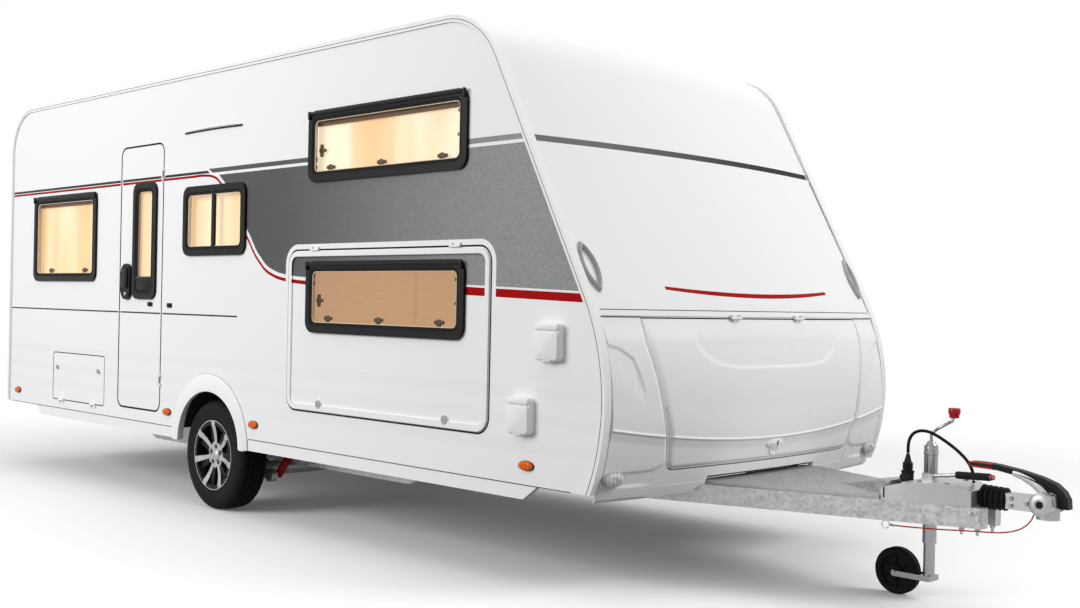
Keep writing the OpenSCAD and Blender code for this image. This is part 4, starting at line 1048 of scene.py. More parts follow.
cream_cloth = glowing_cloth("cream_cloth", (0.93, 0.80, 0.60), (0.84, 0.54, 0.28), 1.0)
blind_cloth = glowing_cloth("blind_cloth", (0.92, 0.74, 0.50), (0.86, 0.62, 0.38), 0.95)
cassette_brown = grained("cassette_brown", (0.19, 0.10, 0.05), 0.45)
for number, (area, on, side, slides) in enumerate(windows):
    u, v, width, height = area
    behind = (u + 0.002, v + 0.002, width - 0.004, height - 0.004)
    cloth = blind_cloth if slides else cream_cloth
    hang(f"curtain_{side}_{number}", behind, on, cloth, 5 if slides else 9)
    if not slides:
        glazed = (u + 0.030, v + 0.030, width - 0.060, height - 0.060)
        piece(f"blind_box_{side}_{number}", cassette(glazed, on), cassette_brown)
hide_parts("curtains")

# %% [markdown]
# ## The door's blind and the bunk's inside
# The door's narrow pane has a black blank at its foot and a blind behind the rest. Through the hatch's
# window one looks into the lower bunk: a lining with a small cupboard stands at its far side. A painted
# board wouldn't shift with the view as depth does, so the cupboard's doors are plates.

# %% Door blind, black blank and the bunk's lining
BLANK_TOP, BLIND_OUT, BUNK_BACK_Y = 1.385, 0.016, -0.305


def door_inside():
    u, v, width, height = door_area
    glazed = (u + 0.034, BLANK_TOP, width - 0.068, v + height - BLANK_TOP - 0.034)
    hang("door_blind", glazed, lambda a, b, w: on_right(a, b, w + BLIND_OUT), blind_cloth, 2, "door", 0.0015)
    blank = rounded(u + 0.030, v + 0.030, width - 0.060, BLANK_TOP - v - 0.030, 0.03, 6)
    piece("door_blank", plate(blank, 0.002, 0.0125, 0.002, on_right), black_frame, "door")
    sill = rounded(u + 0.045, BLANK_TOP - 0.004, width - 0.09, 0.012, 0.004, 3)
    piece("door_sill", plate(sill, 0.006, 0.0145, 0.002, on_right), catch_brown, "door")
    seal = ring(door_area, *DOOR_SEAL, on_right)
    piece("window_door_seal", seal, rubber, "door")


def bunk_lining(y_back):
    low_at, high_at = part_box("hatch_panel")
    u, width = low_at.x + 0.10, high_at.x - low_at.x - 0.22
    v, height = 1.02, 0.74

    def inside(a, b, w):
        return Vector((a, y_back - w, b))

    shapes = [plate(rounded(u, v, width, height, 0.01, 3), 0.0, 0.012, 0.002, inside)]
    for k in range(3):
        a = u + width * 0.34 + k * 0.23
        shapes.append(plate(rounded(a, v + 0.22, 0.21, 0.36, 0.012, 4), 0.012, 0.030, 0.004, inside))
        shapes.append(plate(rounded(a + 0.035, v + 0.26, 0.14, 0.28, 0.010, 4), 0.030, 0.036, 0.003, inside))
    shapes.append(plate(rounded(u, v + 0.02, width, 0.10, 0.02, 4), 0.012, 0.05, 0.008, inside))
    return joined(*shapes)


door_inside()
piece("bunk_lining", bunk_lining(BUNK_BACK_Y), board)
print("door and bunk dressed")

# %% [markdown]
# ## The moulded front
# The gas locker's lid and the cheeks beside it are formed plastic, stiffened by pressed creases. A crease
# could be a bump, but it catches the light over the whole width, so each panel gets a thin skin whose
# height over the solid is a function of Y and Z: a shallow smile pressed into the lid, a step below it
# that runs on across the cheeks, a hollow in each cheek and a pocket for the lamp.

# %% Where the front lies, and how its panels swell
SLOPE, BULGE_R, BULGE_Z = math.radians(28), 1.0, 0.850
RAIL, BOW, INNER_Y, X_FRONT = 0.008, 0.090, 1.106, 2.295
FOOT_X = X_FRONT - BULGE_R + BULGE_R * math.cos(SLOPE)
FOOT_Z = BULGE_Z + BULGE_R * math.sin(SLOPE)
PLAN_X = X_FRONT + BOW - (INNER_Y ** 2 + BOW ** 2) / (2 * BOW)
LID_LOW, LID_TOP, LID_FOOT_R = 0.556, 1.200, 0.05
APRON_LOW, APRON_INNER = 0.424, 0.462
CREASE_Z, CREASE_BOW, CREASE_Y = 0.659, 0.084, 1.1
BEAD_HIGH, BEAD_WIDE = 0.0058, 0.0055
STEP_HIGH, STEP_ABOVE, STEP_BELOW = 0.007, 0.17, 0.05
SMILE_W, SMILE_Z, SMILE_RISE, SMILE_DEEP = 0.575, 0.988, 0.16, 0.0062
SMILE_SOFT, SMILE_END, SMILE_FADE = 0.014, 1.185, 0.10
HOLLOW_DEEP, HOLLOW_FROM, HOLLOW_SOFT, HOLLOW_FADE = 0.006, 0.906, 0.010, 0.16
LID_BEND, LID_NARROW, LID_WIDENS, LID_FLARE = 0.6, 0.740, 0.130, 0.506
LIFT, SWELL, SWELL_FADE, EDGE_SOFT = 0.0008, 0.0072, 0.09, 0.012
LID_SEAM, CHEEK_GAP, CHEEK_END = 0.006, 0.012, 1.098
POCKET = (0.925, 0.521, 0.125, 0.034)
CHEEK_LINE = ((0.905, 0.80), (0.918, 0.915), (0.943, 0.991), (0.969, 1.049), (1.035, 1.091), (1.13, 1.115))


def front_x(y, z, out):
    """X of the front at Y and Z, standing out by the given height."""
    if z > FOOT_Z:
        reach = FOOT_X - (RAIL - out) / math.cos(SLOPE) - (z - FOOT_Z) * math.tan(SLOPE)
    else:
        reach = X_FRONT - BULGE_R + math.sqrt((BULGE_R - RAIL + out) ** 2 - (z - BULGE_Z) ** 2)
    return PLAN_X + math.sqrt((reach + BOW - PLAN_X) ** 2 - y * y)


def on_front(u, v, w):
    return Vector((front_x(u, v, w), u, v))


def step(t):
    t = min(max(t, 0.0), 1.0)
    return t * t * (3 - 2 * t)


def along(points, u):
    """Value at u on a line through points, level beyond its ends."""
    for (a, b), (c, d) in zip(points, points[1:]):
        if u <= c:
            return b + (d - b) * max(u - a, 0.0) / (c - a)
    return points[-1][1]


def off_line(height, u, v):
    """Distance of a point above a curve, allowing for the curve's slope."""
    slope = (height(u + 1e-4) - height(u - 1e-4)) / 2e-4
    return (v - height(u)) / math.hypot(1, slope)


def crease(y, z):
    """A bead that bows up to the sides, and the step that it crowns."""
    d = z - CREASE_Z - CREASE_BOW * (y / CREASE_Y) ** 2
    bead = BEAD_HIGH * math.exp(-(d / BEAD_WIDE) ** 2)
    return bead + STEP_HIGH * (step(1 - d / STEP_ABOVE) if d > 0 else 1 - step(-d / STEP_BELOW))


def smile_line(y):
    return SMILE_Z + SMILE_RISE * (1 - math.sqrt(max(1 - (abs(y) / SMILE_W) ** 5, 0)))


def smile(y, z):
    """Depth of the hollow above the smile."""
    if abs(y) > SMILE_W - 0.001:
        return 0.0
    return SMILE_DEEP * step(off_line(smile_line, y, z) / SMILE_SOFT) * step((SMILE_END - z) / SMILE_FADE)


def lid_half(z):
    """Half the lid's width, with its round lower corners."""
    if z > LID_BEND:
        return LID_NARROW + LID_WIDENS * min((z - LID_BEND) / LID_FLARE, 1.0)
    return LID_NARROW - LID_FOOT_R + math.sqrt(max(LID_FOOT_R ** 2 - (LID_BEND - z) ** 2, 0))


def cheek_inner(z):
    return max(lid_half(z), LID_NARROW) + CHEEK_GAP


def swell(z):
    return SWELL * step((LID_TOP - z) / SWELL_FADE)


def lid_rise(y, z):
    edge = min(z - LID_LOW, lid_half(z) - LID_SEAM - abs(y))
    return LIFT + step(edge / EDGE_SOFT) * (swell(z) + crease(y, z) - smile(y, z))


def cheek_rise(y, z):
    edge = min(z - APRON_LOW, LID_TOP - z)
    soft = EDGE_SOFT + 0.17 * step((0.585 - z) / 0.05)
    d = -off_line(lambda u: along(CHEEK_LINE, u), abs(y), z) if abs(y) > HOLLOW_FROM else 0.0
    hollow = HOLLOW_DEEP * step(d / HOLLOW_SOFT) * (1 - step((d - 0.02) / HOLLOW_FADE))
    hollow *= step((z - 0.85) / 0.09)
    u, v, wide, tall = POCKET
    over = max(abs(abs(y) - u) - wide, abs(z - v) - tall, -0.03)
    inside = 1 - step(over / 0.008 + 1)
    rise = swell(z) + crease(y, z) - hollow
    beside = (abs(y) - cheek_inner(z)) / soft
    return LIFT + step(edge / EDGE_SOFT) * step(beside) * rise * (1 - 0.93 * inside)


print("front at the middle and the side:", round(front_x(0, 0.85, 0), 4), round(front_x(1.1, 0.85, 0), 4))

# %% [markdown]
# ## Skins, lock and front lamps
# A skin is a grid of points in front and the same grid just inside the solid, closed all round. The lock
# is an almond with a keyhole under the lid's step, and each lamp is a clear dome in its pocket.

# %% Make the skins, the lock and the lamps
SIDES = ((-1, "right", on_right), (1, "left", on_left))
LAMP_Y, LAMP_Z, LAMP_HALF_Y, LAMP_HALF_Z = 1.040, 0.530, 0.058, 0.030
LAMP_RIM = ((1.12, -0.016), (1.12, -0.004), (1.04, 0.001), (0.99, -0.001))
LAMP_GLASS = (0.98, 0.90, 0.78, 0.62, 0.45, 0.25, 0.08)
APRON_END, APRON_TOP, APRON_CORNER = 0.756, 0.474, 0.466


def skin(rows, columns, edges, rise):
    sections = []
    for z in rows:
        a, b = edges(z)
        ys = [a + (b - a) * k / columns for k in range(columns + 1)]
        outer = [on_front(y, z, rise(y, z)) for y in ys]
        sections.append(outer + [on_front(y, z, -0.002) for y in reversed(ys)])
    return loft(sections)


def lens_outline(u, v, half_l, half_h, steps=14):
    """Two arcs that meet in points."""
    top = [(u + half_l * (1 - 2 * k / steps), half_h * (1 - (1 - 2 * k / steps) ** 2)) for k in range(steps)]
    return [(a, v + b) for a, b in top] + [(2 * u - a, v - b) for a, b in top]


def lid_lock():
    body = plate(lens_outline(0, 0.627, 0.070, 0.025), 0.002, 0.017, 0.003, on_front)
    crown = plate(lens_outline(0, 0.628, 0.048, 0.016), 0.015, 0.021, 0.003, on_front)
    hood = [on_front(u, v, 0.0085) for u, v in arc((0, 0.604), 0.030, 180, 360, 18)]
    return joined(body, crown, sweep(hood, 0.0035, 8))


def lamp_dome(side):
    """A lamp's rim and its glass, which has fine flutes."""
    x_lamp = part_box("front_lamps")[1].x

    def ellipse(share, w, flute=0.0):
        return [Vector((x_lamp + w + flute * (k % 2), side * LAMP_Y + LAMP_HALF_Y * share * math.cos(t),
                        LAMP_Z + LAMP_HALF_Z * share * math.sin(t))) for k, t in enumerate(full_turn(48))]

    rim = loft([ellipse(*row) for row in LAMP_RIM], caps=False)
    return rim, loft([ellipse(s, 0.012 * (1 - s * s), 0.0012) for s in LAMP_GLASS])


def apron(side):
    """The moulding's lip below the lid, beside the drawbar, with a slanted inner end."""
    sections = []
    for y in spread(APRON_INNER, APRON_END, 16):
        foot = max(APRON_LOW, APRON_CORNER - 0.7 * (y - APRON_INNER))
        line = [(z, LIFT) for z in spread(foot + 0.002, APRON_TOP, 6)]
        line += [(APRON_TOP, -0.018), (foot + 0.004, -0.018), (foot, -0.012), (foot, -0.003)]
        sections.append([on_front(side * y, z, out) for z, out in line])
    return loft(sections)


def fine_rows(low, fine_low, fine_high, high):
    """Heights for a skin, close together where the crease runs."""
    coarse, fine = 0.0062, 0.0016
    spans = ((low, fine_low, coarse), (fine_low, fine_high, fine), (fine_high, high, coarse))
    rows = [z for a, b, gap in spans for z in spread(a, b, round((b - a) / gap))[:-1]]
    return rows + [high]


lid_skin = skin(fine_rows(LID_LOW, 0.640, 0.735, LID_TOP), 90,
                lambda z: (LID_SEAM - lid_half(z), lid_half(z) - LID_SEAM), lid_rise)
piece("lid_skin", lid_skin, white_mould, "locker_lid", sharp=60)
piece("lid_lock", lid_lock(), white_mould, "locker_lid")
keyhole = plate(rounded(0.004, 0.615, 0.009, 0.026, 0.004, 4), 0.018, 0.0222, 0.0008, on_front)
piece("lid_keyhole", keyhole, black_gap, "locker_lid")
for side, word, on in SIDES:
    piece(f"apron_{word}", apron(side), white_mould)
    cheek = skin(fine_rows(APRON_LOW, 0.680, 0.765, LID_TOP), 44,
                 lambda z: (side * cheek_inner(z), side * CHEEK_END), cheek_rise)
    piece(f"cheek_skin_{word}", cheek, white_mould, sharp=60)
    rim, glass = lamp_dome(side)
    piece(f"lamp_rim_{word}", rim, grey_trim)
    piece(f"lamp_glass_{word}", glass, clear_lens)
print("front panels, lock and lamps made")

# %% [markdown]
# ## Grab handles
# Each front corner has a handle to push the caravan by: an almond of grey plastic with the white front
# showing through it. The solid is a straight-sided ring. Lofting almonds of falling size over a rounded
# profile gives the real one's soft ridge, on the same spot and slope.

# %% Almond loops on the sloped corners
GRAB_IN, GRAB_Z, GRAB_TILT = 0.078, 1.436, math.radians(-8)
GRAB_LONG, GRAB_WIDE = 0.250, 0.084
GRAB_ROWS = ((0.0, 0.0006), (0.0005, 0.0095), (0.0030, 0.0175), (0.0070, 0.0200), (0.0105, 0.0180),
             (0.0130, 0.0105), (0.0145, 0.0006), (0.0, 0.0006))


def almond(long, wide, steps=20):
    """Outline between two arcs, from tip to tip and back."""
    radius = (long ** 2 + wide ** 2) / (4 * wide)
    half = math.degrees(math.asin(long / 2 / radius))
    top = arc((0, wide / 2 - radius), radius, 90 - half, 90 + half, steps)[:-1]
    return top + [(-u, -v) for u, v in top]


def on_corner(side):
    """A function that places points on a front corner: down the slope, across it and out."""
    y = HALF_W - GRAB_IN
    x = front_x(y, GRAB_Z, 0)
    turn = Matrix.Rotation(math.atan2(y, x - PLAN_X), 3, "Z") @ Matrix.Rotation(math.pi / 2 - SLOPE, 3, "Y")
    turn = turn @ Matrix.Rotation(GRAB_TILT, 3, "Z")

    def place(u, v, w):
        at = Vector((x, y, GRAB_Z)) + turn @ Vector((u, v, w))
        return Vector((at.x, side * at.y, at.z))

    return place


def grab_loop(on):
    rows = [(almond(GRAB_LONG - 4 * d, GRAB_WIDE - 2 * d), w) for d, w in GRAB_ROWS]
    return stacked(rows, on, caps=False)


loops = joined(*[grab_loop(on_corner(side)) for side in (-1, 1)])
grab_loops = piece("grab_loops", loops, grey_trim, sharp=50)
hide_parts("grab_handles")
print("grab handles made")

# %% [markdown]
# ## Tyres
# A tyre is a turned shape, but its tread isn't: four grooves run round it, and slots cut its shoulders into
# blocks. Cutting every slot with a Boolean would be slow and leave poor edges. Instead the profile is
# turned, and the radius of the shoulder rows is lowered at every slot.

# %% Tyres with grooves and slots
SIDEWALL = ((0.200, 0.080), (0.206, 0.087), (0.215, 0.0912), (0.2205, 0.0935), (0.226, 0.0922),
            (0.245, 0.0955), (0.262, 0.0966), (0.2635, 0.0952), (0.268, 0.0952), (0.2695, 0.0964),
            (0.288, 0.0938), (0.302, 0.089))
SHOULDER = ((0.313, 0.081), (0.3205, 0.0735), (0.3238, 0.064))
GROOVES = ((0.3238, 0.0497), (0.3158, 0.048), (0.3158, 0.0405), (0.325, 0.039), (0.3262, 0.0215),
           (0.3182, 0.0198), (0.3182, 0.0122), (0.3265, 0.0106))
CROWN_R = 0.327
SLOTS, PER_SLOT, SLOT_DEEP = 44, 4, 0.006
SLANT, SLANT_AT = 0.3, 0.08


def tyre(centre):
    parts = ((SIDEWALL, 0), (SHOULDER, SLOT_DEEP), (GROOVES, 0))
    half = [(r, h, cut) for rows, cut in parts for r, h in rows]
    rows = half + [(CROWN_R, 0.0, 0)] + [(r, -h, cut) for r, h, cut in reversed(half)]
    count = SLOTS * PER_SLOT
    sections = []
    for r, h, cut in rows + rows[:1]:
        turns = [2 * math.pi * (k + SLANT * h / SLANT_AT) / count for k in range(count)]
        deep = [r - (cut if k % PER_SLOT == 0 else 0) for k in range(count)]
        sections.append([centre + Vector((d * math.cos(t), h, d * math.sin(t))) for d, t in zip(deep, turns)])
    return loft(sections, caps=False)


for side, word, on in SIDES:
    axle = Vector((AXLE_X, side * AXLE_Y, AXLE_Z))
    tread = piece(f"tread_{word}", tyre(axle), rubber, f"wheel_{word}", sharp=28)
    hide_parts(f"tyre_{word}")
print("tyre radius:", round(AXLE_Z, 3))

# %% [markdown]
# ## Rims and the jockey wheel
# The alloy rim has seven spokes with machined faces that rise from the hub to the outer lip, five bolts in
# dark wells round a cap, and a rubber valve. In the solids the spokes are flat bars. A face is lofted over
# each one, because it rises along its length and its edges are crisp, which no finish could show. The small
# jockey wheel gets ribs in its hollow sides.

# %% Spokes, bolts, caps, valves and the jockey wheel's ribs
SPOKES, BOLTS, BOLT_CIRCLE = 7, 5, 0.052
SPOKE = ((0.060, 0.0130, 0.0012), (0.078, 0.0125, 0.0020), (0.120, 0.0145, 0.0060), (0.155, 0.0170, 0.0135),
         (0.176, 0.0190, 0.0215), (0.183, 0.0195, 0.0229), (0.2045, 0.0215, 0.0233))
JOCKEY_LIP = ((0.074, 0.005), (0.077, 0.0032), (0.083, 0.0032), (0.086, 0.005))
BOLT_WELL = ((0.0001, 0.0004), (0.0125, 0.0004), (0.0150, 0.0010), (0.0158, 0.0004), (0.0158, -0.004))
HUB_CAP = ((0.034, -0.001), (0.034, 0.003), (0.031, 0.0052), (0.026, 0.0045), (0.024, 0.0060),
           (0.0001, 0.0078))
VALVE_AT, VALVE = (0.150, 0.082, -0.120), ((0, 0, 0), (0.002, 0.012, 0.004), (0.004, 0.024, 0.006))


def turned_at(profile, centre, axis, spots, steps=24):
    return joined(*[lathe(profile, Vector(centre) + Vector(spot), axis, steps) for spot in spots])


def hex_heads(spots, axis, radius=0.009, height=0.006):
    """Hexagon bolt heads on washers, standing on the given places."""
    washer = [(0.0, 0.0), (radius * 1.35, 0.0), (radius * 1.35, 0.0012), (radius, 0.0016)]
    head = [(radius, 0.0012), (radius, height * 0.8), (radius * 0.85, height), (0.0001, height)]
    return joined(*[lathe(washer, at, axis, 20) for at in spots], *[lathe(head, at, axis, 6) for at in spots])


def circle_of(count, radius, phase=90):
    turns = [math.radians(phase + 360 * k / count) for k in range(count)]
    return [Vector((radius * math.cos(t), 0, radius * math.sin(t))) for t in turns]


def spoke(face, side, turn):
    """The machined face of one spoke, which rises to the rim's lip at its outer end."""
    turn = math.radians(turn)
    away = Vector((math.cos(turn), 0, math.sin(turn)))
    across = Vector((-math.sin(turn), 0, math.cos(turn)))
    sections = []
    for r, half, rise in SPOKE:
        loop = ((-half, -0.004), (-half, rise - 0.002), (-half + 0.002, rise), (half - 0.002, rise),
                (half, rise - 0.002), (half, -0.004))
        sections.append([face + away * r + across * a + Vector((0, side * h, 0)) for a, h in loop])
    return loft(sections)


def dress_rim(side, word):
    body, out = f"wheel_{word}", Vector((0, side, 0))
    face = Vector((AXLE_X, side * SPOKE_FACE, AXLE_Z))
    wells = circle_of(BOLTS, BOLT_CIRCLE)
    well_shapes = turned_at(BOLT_WELL, face, out, wells)
    piece(f"bolt_wells_{word}", well_shapes, black_gap, body)
    heads = hex_heads([face + w + 0.0003 * out for w in wells], out, 0.0075, 0.0032)
    piece(f"wheel_bolts_{word}", heads, drum_grey, body)
    faces = joined(*[spoke(face, side, 90 + 360 * k / SPOKES) for k in range(SPOKES)])
    piece(f"spoke_faces_{word}", faces, alloy_face, body)
    piece(f"hub_cap_{word}", lathe(HUB_CAP, face, out, 48), cast_silver, body)
    x, y, z = VALVE_AT
    foot = Vector((AXLE_X, side * (AXLE_Y + y), AXLE_Z)) + Vector((x, 0, z))
    stem = sweep([foot + Vector((a, side * b, c)) for a, b, c in VALVE], [0.0062, 0.0050, 0.0042], 10)
    piece(f"valve_{word}", stem, rubber, body)


def jockey_ribs():
    low_at, high_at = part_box("jockey_wheel")
    middle = (Vector(low_at) + Vector(high_at)) / 2
    half = (high_at.y - low_at.y) / 2
    shapes = []
    for side in (-1, 1):
        for spot in circle_of(6, 0.051, 30):
            away = spot.normalized() * 0.018
            ends = [middle + spot + away * k + Vector((0, side * (half - 0.015), 0)) for k in (-1, 0, 1)]
            shapes.append(sweep(ends, [0.006, 0.005, 0.006], 8, 1.6, (0, 1, 0)))
        lip = [(r, half - d) for r, d in JOCKEY_LIP]
        shapes.append(lathe(lip, middle, (0, side, 0), 48))
    return joined(*shapes)


for side, word, on in SIDES:
    dress_rim(side, word)
piece("jockey_ribs", jockey_ribs(), rubber, "jockey_roller")
print("rims dressed, spokes on each:", SPOKES)

# %% [markdown]
# ## On the drawbar
# The drawbar carries the most small parts. First come a cover plate with studs for grip and a pressed wedge,
# the brake housing's seam and bolts, and the gussets on the beams' ends. Each could be cut into the solids,
# but as pieces of a few rows they stay crisp and cost little: studs and bolts are turned, and the wedge is
# lofted.

# %% Cover plate, housing and brackets
COVER_TOP, HOUSING_TOP, BEAM_FOOT = 0.480, 0.546, 0.376
TIP_X, TIP_Y, BAR_SLOPE, BAR_HALF = 3.448, 0.060, 0.3272, 0.025
STUD_DOME = ((0.0065, -0.0005), (0.0060, 0.0012), (0.0042, 0.0026), (0.0001, 0.0032))
STUD_X, STUD_GAP, STUD_ROWS = 2.39, 0.085, 7
WIDE_ROW, NARROW_ROW = (-0.92, -0.56, -0.2, 0.2, 0.56, 0.92), (-0.92, -0.5, 0.5, 0.92)
WEDGE_X, WEDGE_LONG = 2.735, 0.297
BRACKET = ((3.300, 0.452), (3.444, 0.384), (3.444, 0.460), (3.300, 0.460))
CLAMP_STUD = ((0.0065, 0), (0.0065, 0.030), (0.0045, 0.033), (0.0001, 0.034))
CLAMP_NUT = ((0.0001, 0.004), (0.012, 0.004), (0.012, 0.015), (0.0001, 0.015))
UP, DOWN = (0, 0, 1), (0, 0, -1)


def bar_y(x):
    return TIP_Y + BAR_SLOPE * (TIP_X - x)


def cover_studs():
    spots = []
    for i in range(STUD_ROWS):
        x = STUD_X + STUD_GAP * i
        reach = bar_y(x) - 0.075
        for part in NARROW_ROW if i > 3 else WIDE_ROW:
            spots += [(x, part * reach, COVER_TOP), (x + 0.022, part * reach + 0.008, COVER_TOP)]
    return turned_at(STUD_DOME, (0, 0, 0), UP, spots, 10)


def wedge():
    """A pressed ramp that rises and widens towards the housing."""
    sections = []
    for k in range(15):
        t = k / 14
        x, w, h = WEDGE_X + WEDGE_LONG * t, 0.014 + 0.104 * t, 0.002 + 0.050 * step(t) ** 0.8
        section = ((-w, -0.002), (-w * 0.93, h * 0.45), (-w * 0.87, h * 0.9), (-w * 0.80, h), (w * 0.80, h),
                   (w * 0.87, h * 0.9), (w * 0.93, h * 0.45), (w, -0.002))
        sections.append([Vector((x, y, COVER_TOP + z)) for y, z in section])
    return loft(sections)


def housing_seam():
    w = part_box("overrun_housing")[1].y + 0.0005
    path = [(3.051, -w, 0.468), (3.051, -w, 0.512), (3.052, -w + 0.006, 0.5195), (3.052, 0, 0.5208),
            (3.052, w - 0.006, 0.5195), (3.051, w, 0.512), (3.051, w, 0.468)]
    return sweep(path, 0.0032, 8, 1.0, (1, 0, 0))


def end_brackets():
    """Gussets on the beams' ends with the bolts that clamp the housing."""
    shapes = []
    for side in (-1, 1):
        def flank(u, v, w):
            return Vector((u, side * (bar_y(u) + BAR_HALF * 1.052 + w), v))

        outline = BRACKET if side > 0 else BRACKET[::-1]
        shapes.append(plate(outline, -0.002, 0.005, 0.0015, flank))
        spots = [flank(3.405, 0.440, 0.005), flank(3.432, 0.412, 0.005)]
        shapes.append(hex_heads(spots, (0, side, 0), 0.009, 0.008))
        for x in (3.36, 3.42):
            foot = Vector((x, side * bar_y(x), BEAM_FOOT))
            shapes += [lathe(CLAMP_STUD, foot, DOWN, 12), lathe(CLAMP_NUT, foot, DOWN, 6)]
    return joined(*shapes)


piece("cover_studs", cover_studs(), smooth_steel)
piece("cover_wedge", wedge(), smooth_steel)
piece("housing_seam", housing_seam(), black_gap)
piece("end_brackets", end_brackets(), steel)
bolts_at = ((3.18, 0.118), (3.29, 0.088))
top_bolts = [Vector((x, side * y, HOUSING_TOP)) for x, y in bolts_at for side in (-1, 1)]
piece("housing_bolts", hex_heads(top_bolts, UP), zinc)
print("drawbar cover and brackets made")

# %% [markdown]
# ## Coupling and lever
# The coupling grips the tow ball between friction pads, each behind a round cap. A lever lies over it, ribbed
# along its flanks, tied to the caps by bright arms and edged in red at its rear end. Ribs, arms and edges
# follow lines in X and Z, the same on both sides, so each is a bar swept along its line with a radius that
# swells or tapers. Caps and bolts are turned.

# %% Friction caps, bolts, ribs and arms
CAP_AT = (3.685, 0.078, 0.506)
CAP_DOME = ((0.0472, -0.004), (0.0472, 0.001), (0.0440, 0.0050), (0.0360, 0.0085), (0.0250, 0.0105),
            (0.0195, 0.0108), (0.0180, 0.0085), (0.0001, 0.0085))
CAP_SOCKET = ((0.0165, 0.0080), (0.0165, 0.0102), (0.0120, 0.0102), (0.0110, 0.0088), (0.0001, 0.0088))
COUPLING_BOLTS, COUPLING_HALF = ((3.545, 0.512), (3.545, 0.482), (3.610, 0.497)), 0.032
RIB_OUT, ARM_OUT, EDGE_OUT = 0.0225, 0.0268, 0.0222
RIB = ((3.482, 0.628), (3.560, 0.614), (3.630, 0.594), (3.690, 0.570), (3.730, 0.545), (3.752, 0.515))
ARM = ((3.545, 0.616), (3.592, 0.602), (3.640, 0.577), (3.674, 0.545), (3.690, 0.506))
RED_EDGES = (((3.359, 0.641), (3.400, 0.642), (3.455, 0.6405)),
             ((3.360, 0.625), (3.400, 0.6235), (3.455, 0.622)))


def on_both(profile, at, steps):
    """A turned shape on both sides, facing outwards."""
    x, y, z = at
    return joined(*[lathe(profile, (x, side * y, z), (0, side, 0), steps) for side in (-1, 1)])


def flank_bars(line, out, per, radius_at, *shape):
    """A bar along a line in X and Z on both flanks. radius_at(k, n) is the radius at point k of n."""
    bars = []
    for side in (-1, 1):
        path = smooth_path([(x, side * out, z) for x, z in line], per)
        radii = [radius_at(k, len(path)) for k in range(len(path))]
        bars.append(sweep(path, radii, *shape))
    return joined(*bars)


def coupling_bolts():
    shapes = []
    for x, z in COUPLING_BOLTS:
        shapes += [hex_heads([Vector((x, s * COUPLING_HALF, z))], (0, s, 0), 0.0085, 0.009) for s in (-1, 1)]
    return joined(*shapes)


def lever_edges():
    """Red inserts along the rear end of the lever."""
    tip = [(3.3575, -0.020 + 0.040 * k / 6, 0.633) for k in range(7)]
    edges = [flank_bars(line, EDGE_OUT, 4, lambda k, n: 0.0034, 8) for line in RED_EDGES]
    return joined(*edges, sweep(tip, 0.0075, 10))


ribs = flank_bars(RIB, RIB_OUT, 5, lambda k, n: 0.010 * math.sin(math.pi * (k + 0.6) / (n + 0.2)) ** 0.5,
                  10, 0.45, (0, 0, 1))
arms = flank_bars(ARM, ARM_OUT, 5, lambda k, n: 0.008 + 0.011 * math.sqrt(k / (n - 1)),
                  14, 0.26, (0, 1, 0))
piece("friction_caps", on_both(CAP_DOME, CAP_AT, 48), cast_silver)
piece("cap_sockets", on_both(CAP_SOCKET, CAP_AT, 6), black_gap)
piece("coupling_bolts", coupling_bolts(), zinc)
piece("lever_flanks", ribs, black_grain)
piece("lever_links", arms, cast_silver)
piece("lever_edges", lever_edges(), red_plastic)
print("coupling and lever dressed")

# %% [markdown]
# ## Handbrake grip, crank knob and plug
# The handbrake ends in a ribbed grip with a red button. The jockey wheel's crank has a red knob, its tube a
# collar, and the plug a rubber sleeve with rings. All of them are round. Stacked cylinders would do from
# afar, but one profile turned about its axis has the rims and chamfers as well.

# %% Grip, button, knob, collar and plug
BUTTON = ((0.0001, 0.016), (0.0070, 0.0155), (0.0108, 0.0125), (0.0115, 0.003), (0.0115, -0.002))
KNOB = ((0.0080, 0.8095), (0.0212, 0.8098), (0.0218, 0.822), (0.0250, 0.828), (0.0265, 0.834),
        (0.0265, 0.847), (0.0240, 0.8530), (0.0001, 0.8545))
COLLAR = ((0.0302, 0.640), (0.0325, 0.642), (0.0325, 0.652), (0.0302, 0.654), (0.0302, 0.676),
          (0.0285, 0.6815), (0.0200, 0.6835), (0.0100, 0.7005))
PLUG_FOOT = ((0.0262, 0.5205), (0.0315, 0.5205), (0.0315, 0.5255), (0.0262, 0.5275), (0.0262, 0.566),
             (0.0285, 0.567), (0.0285, 0.5735), (0.0205, 0.5745), (0.0205, 0.580))
PLUG_RING = ((0.0204, 0), (0.0226, 0.0012), (0.0226, 0.0036), (0.0204, 0.0048))
PLUG_NECK = ((0.0175, 0.6105), (0.0150, 0.618), (0.0118, 0.630), (0.0092, 0.640), (0.0072, 0.648))
GRIP_FROM, GRIP_TO, BUTTON_AT = (3.308, -0.040, 0.5818), (3.459, -0.040, 0.5880), (3.4595, -0.040, 0.588)
PLUG_RINGS, PLUG_RING_Z, PLUG_RING_GAP = 5, 0.580, 0.006
JOCKEY_AT, CRANK_REACH, PARK_AT = Vector((3.120, 0.095, 0.0)), Vector((0.105, 0, 0)), (3.071, -0.020, 0.0)


def grip(start, end, low, high, rings):
    """A bar whose radius changes from ring to ring."""
    start, end = Vector(start), Vector(end)
    path = [start + (end - start) * k / rings for k in range(rings + 1)]
    radii = [low if k % 2 or k in (0, rings) else high for k in range(rings + 1)]
    return sweep(path, radii, 14)


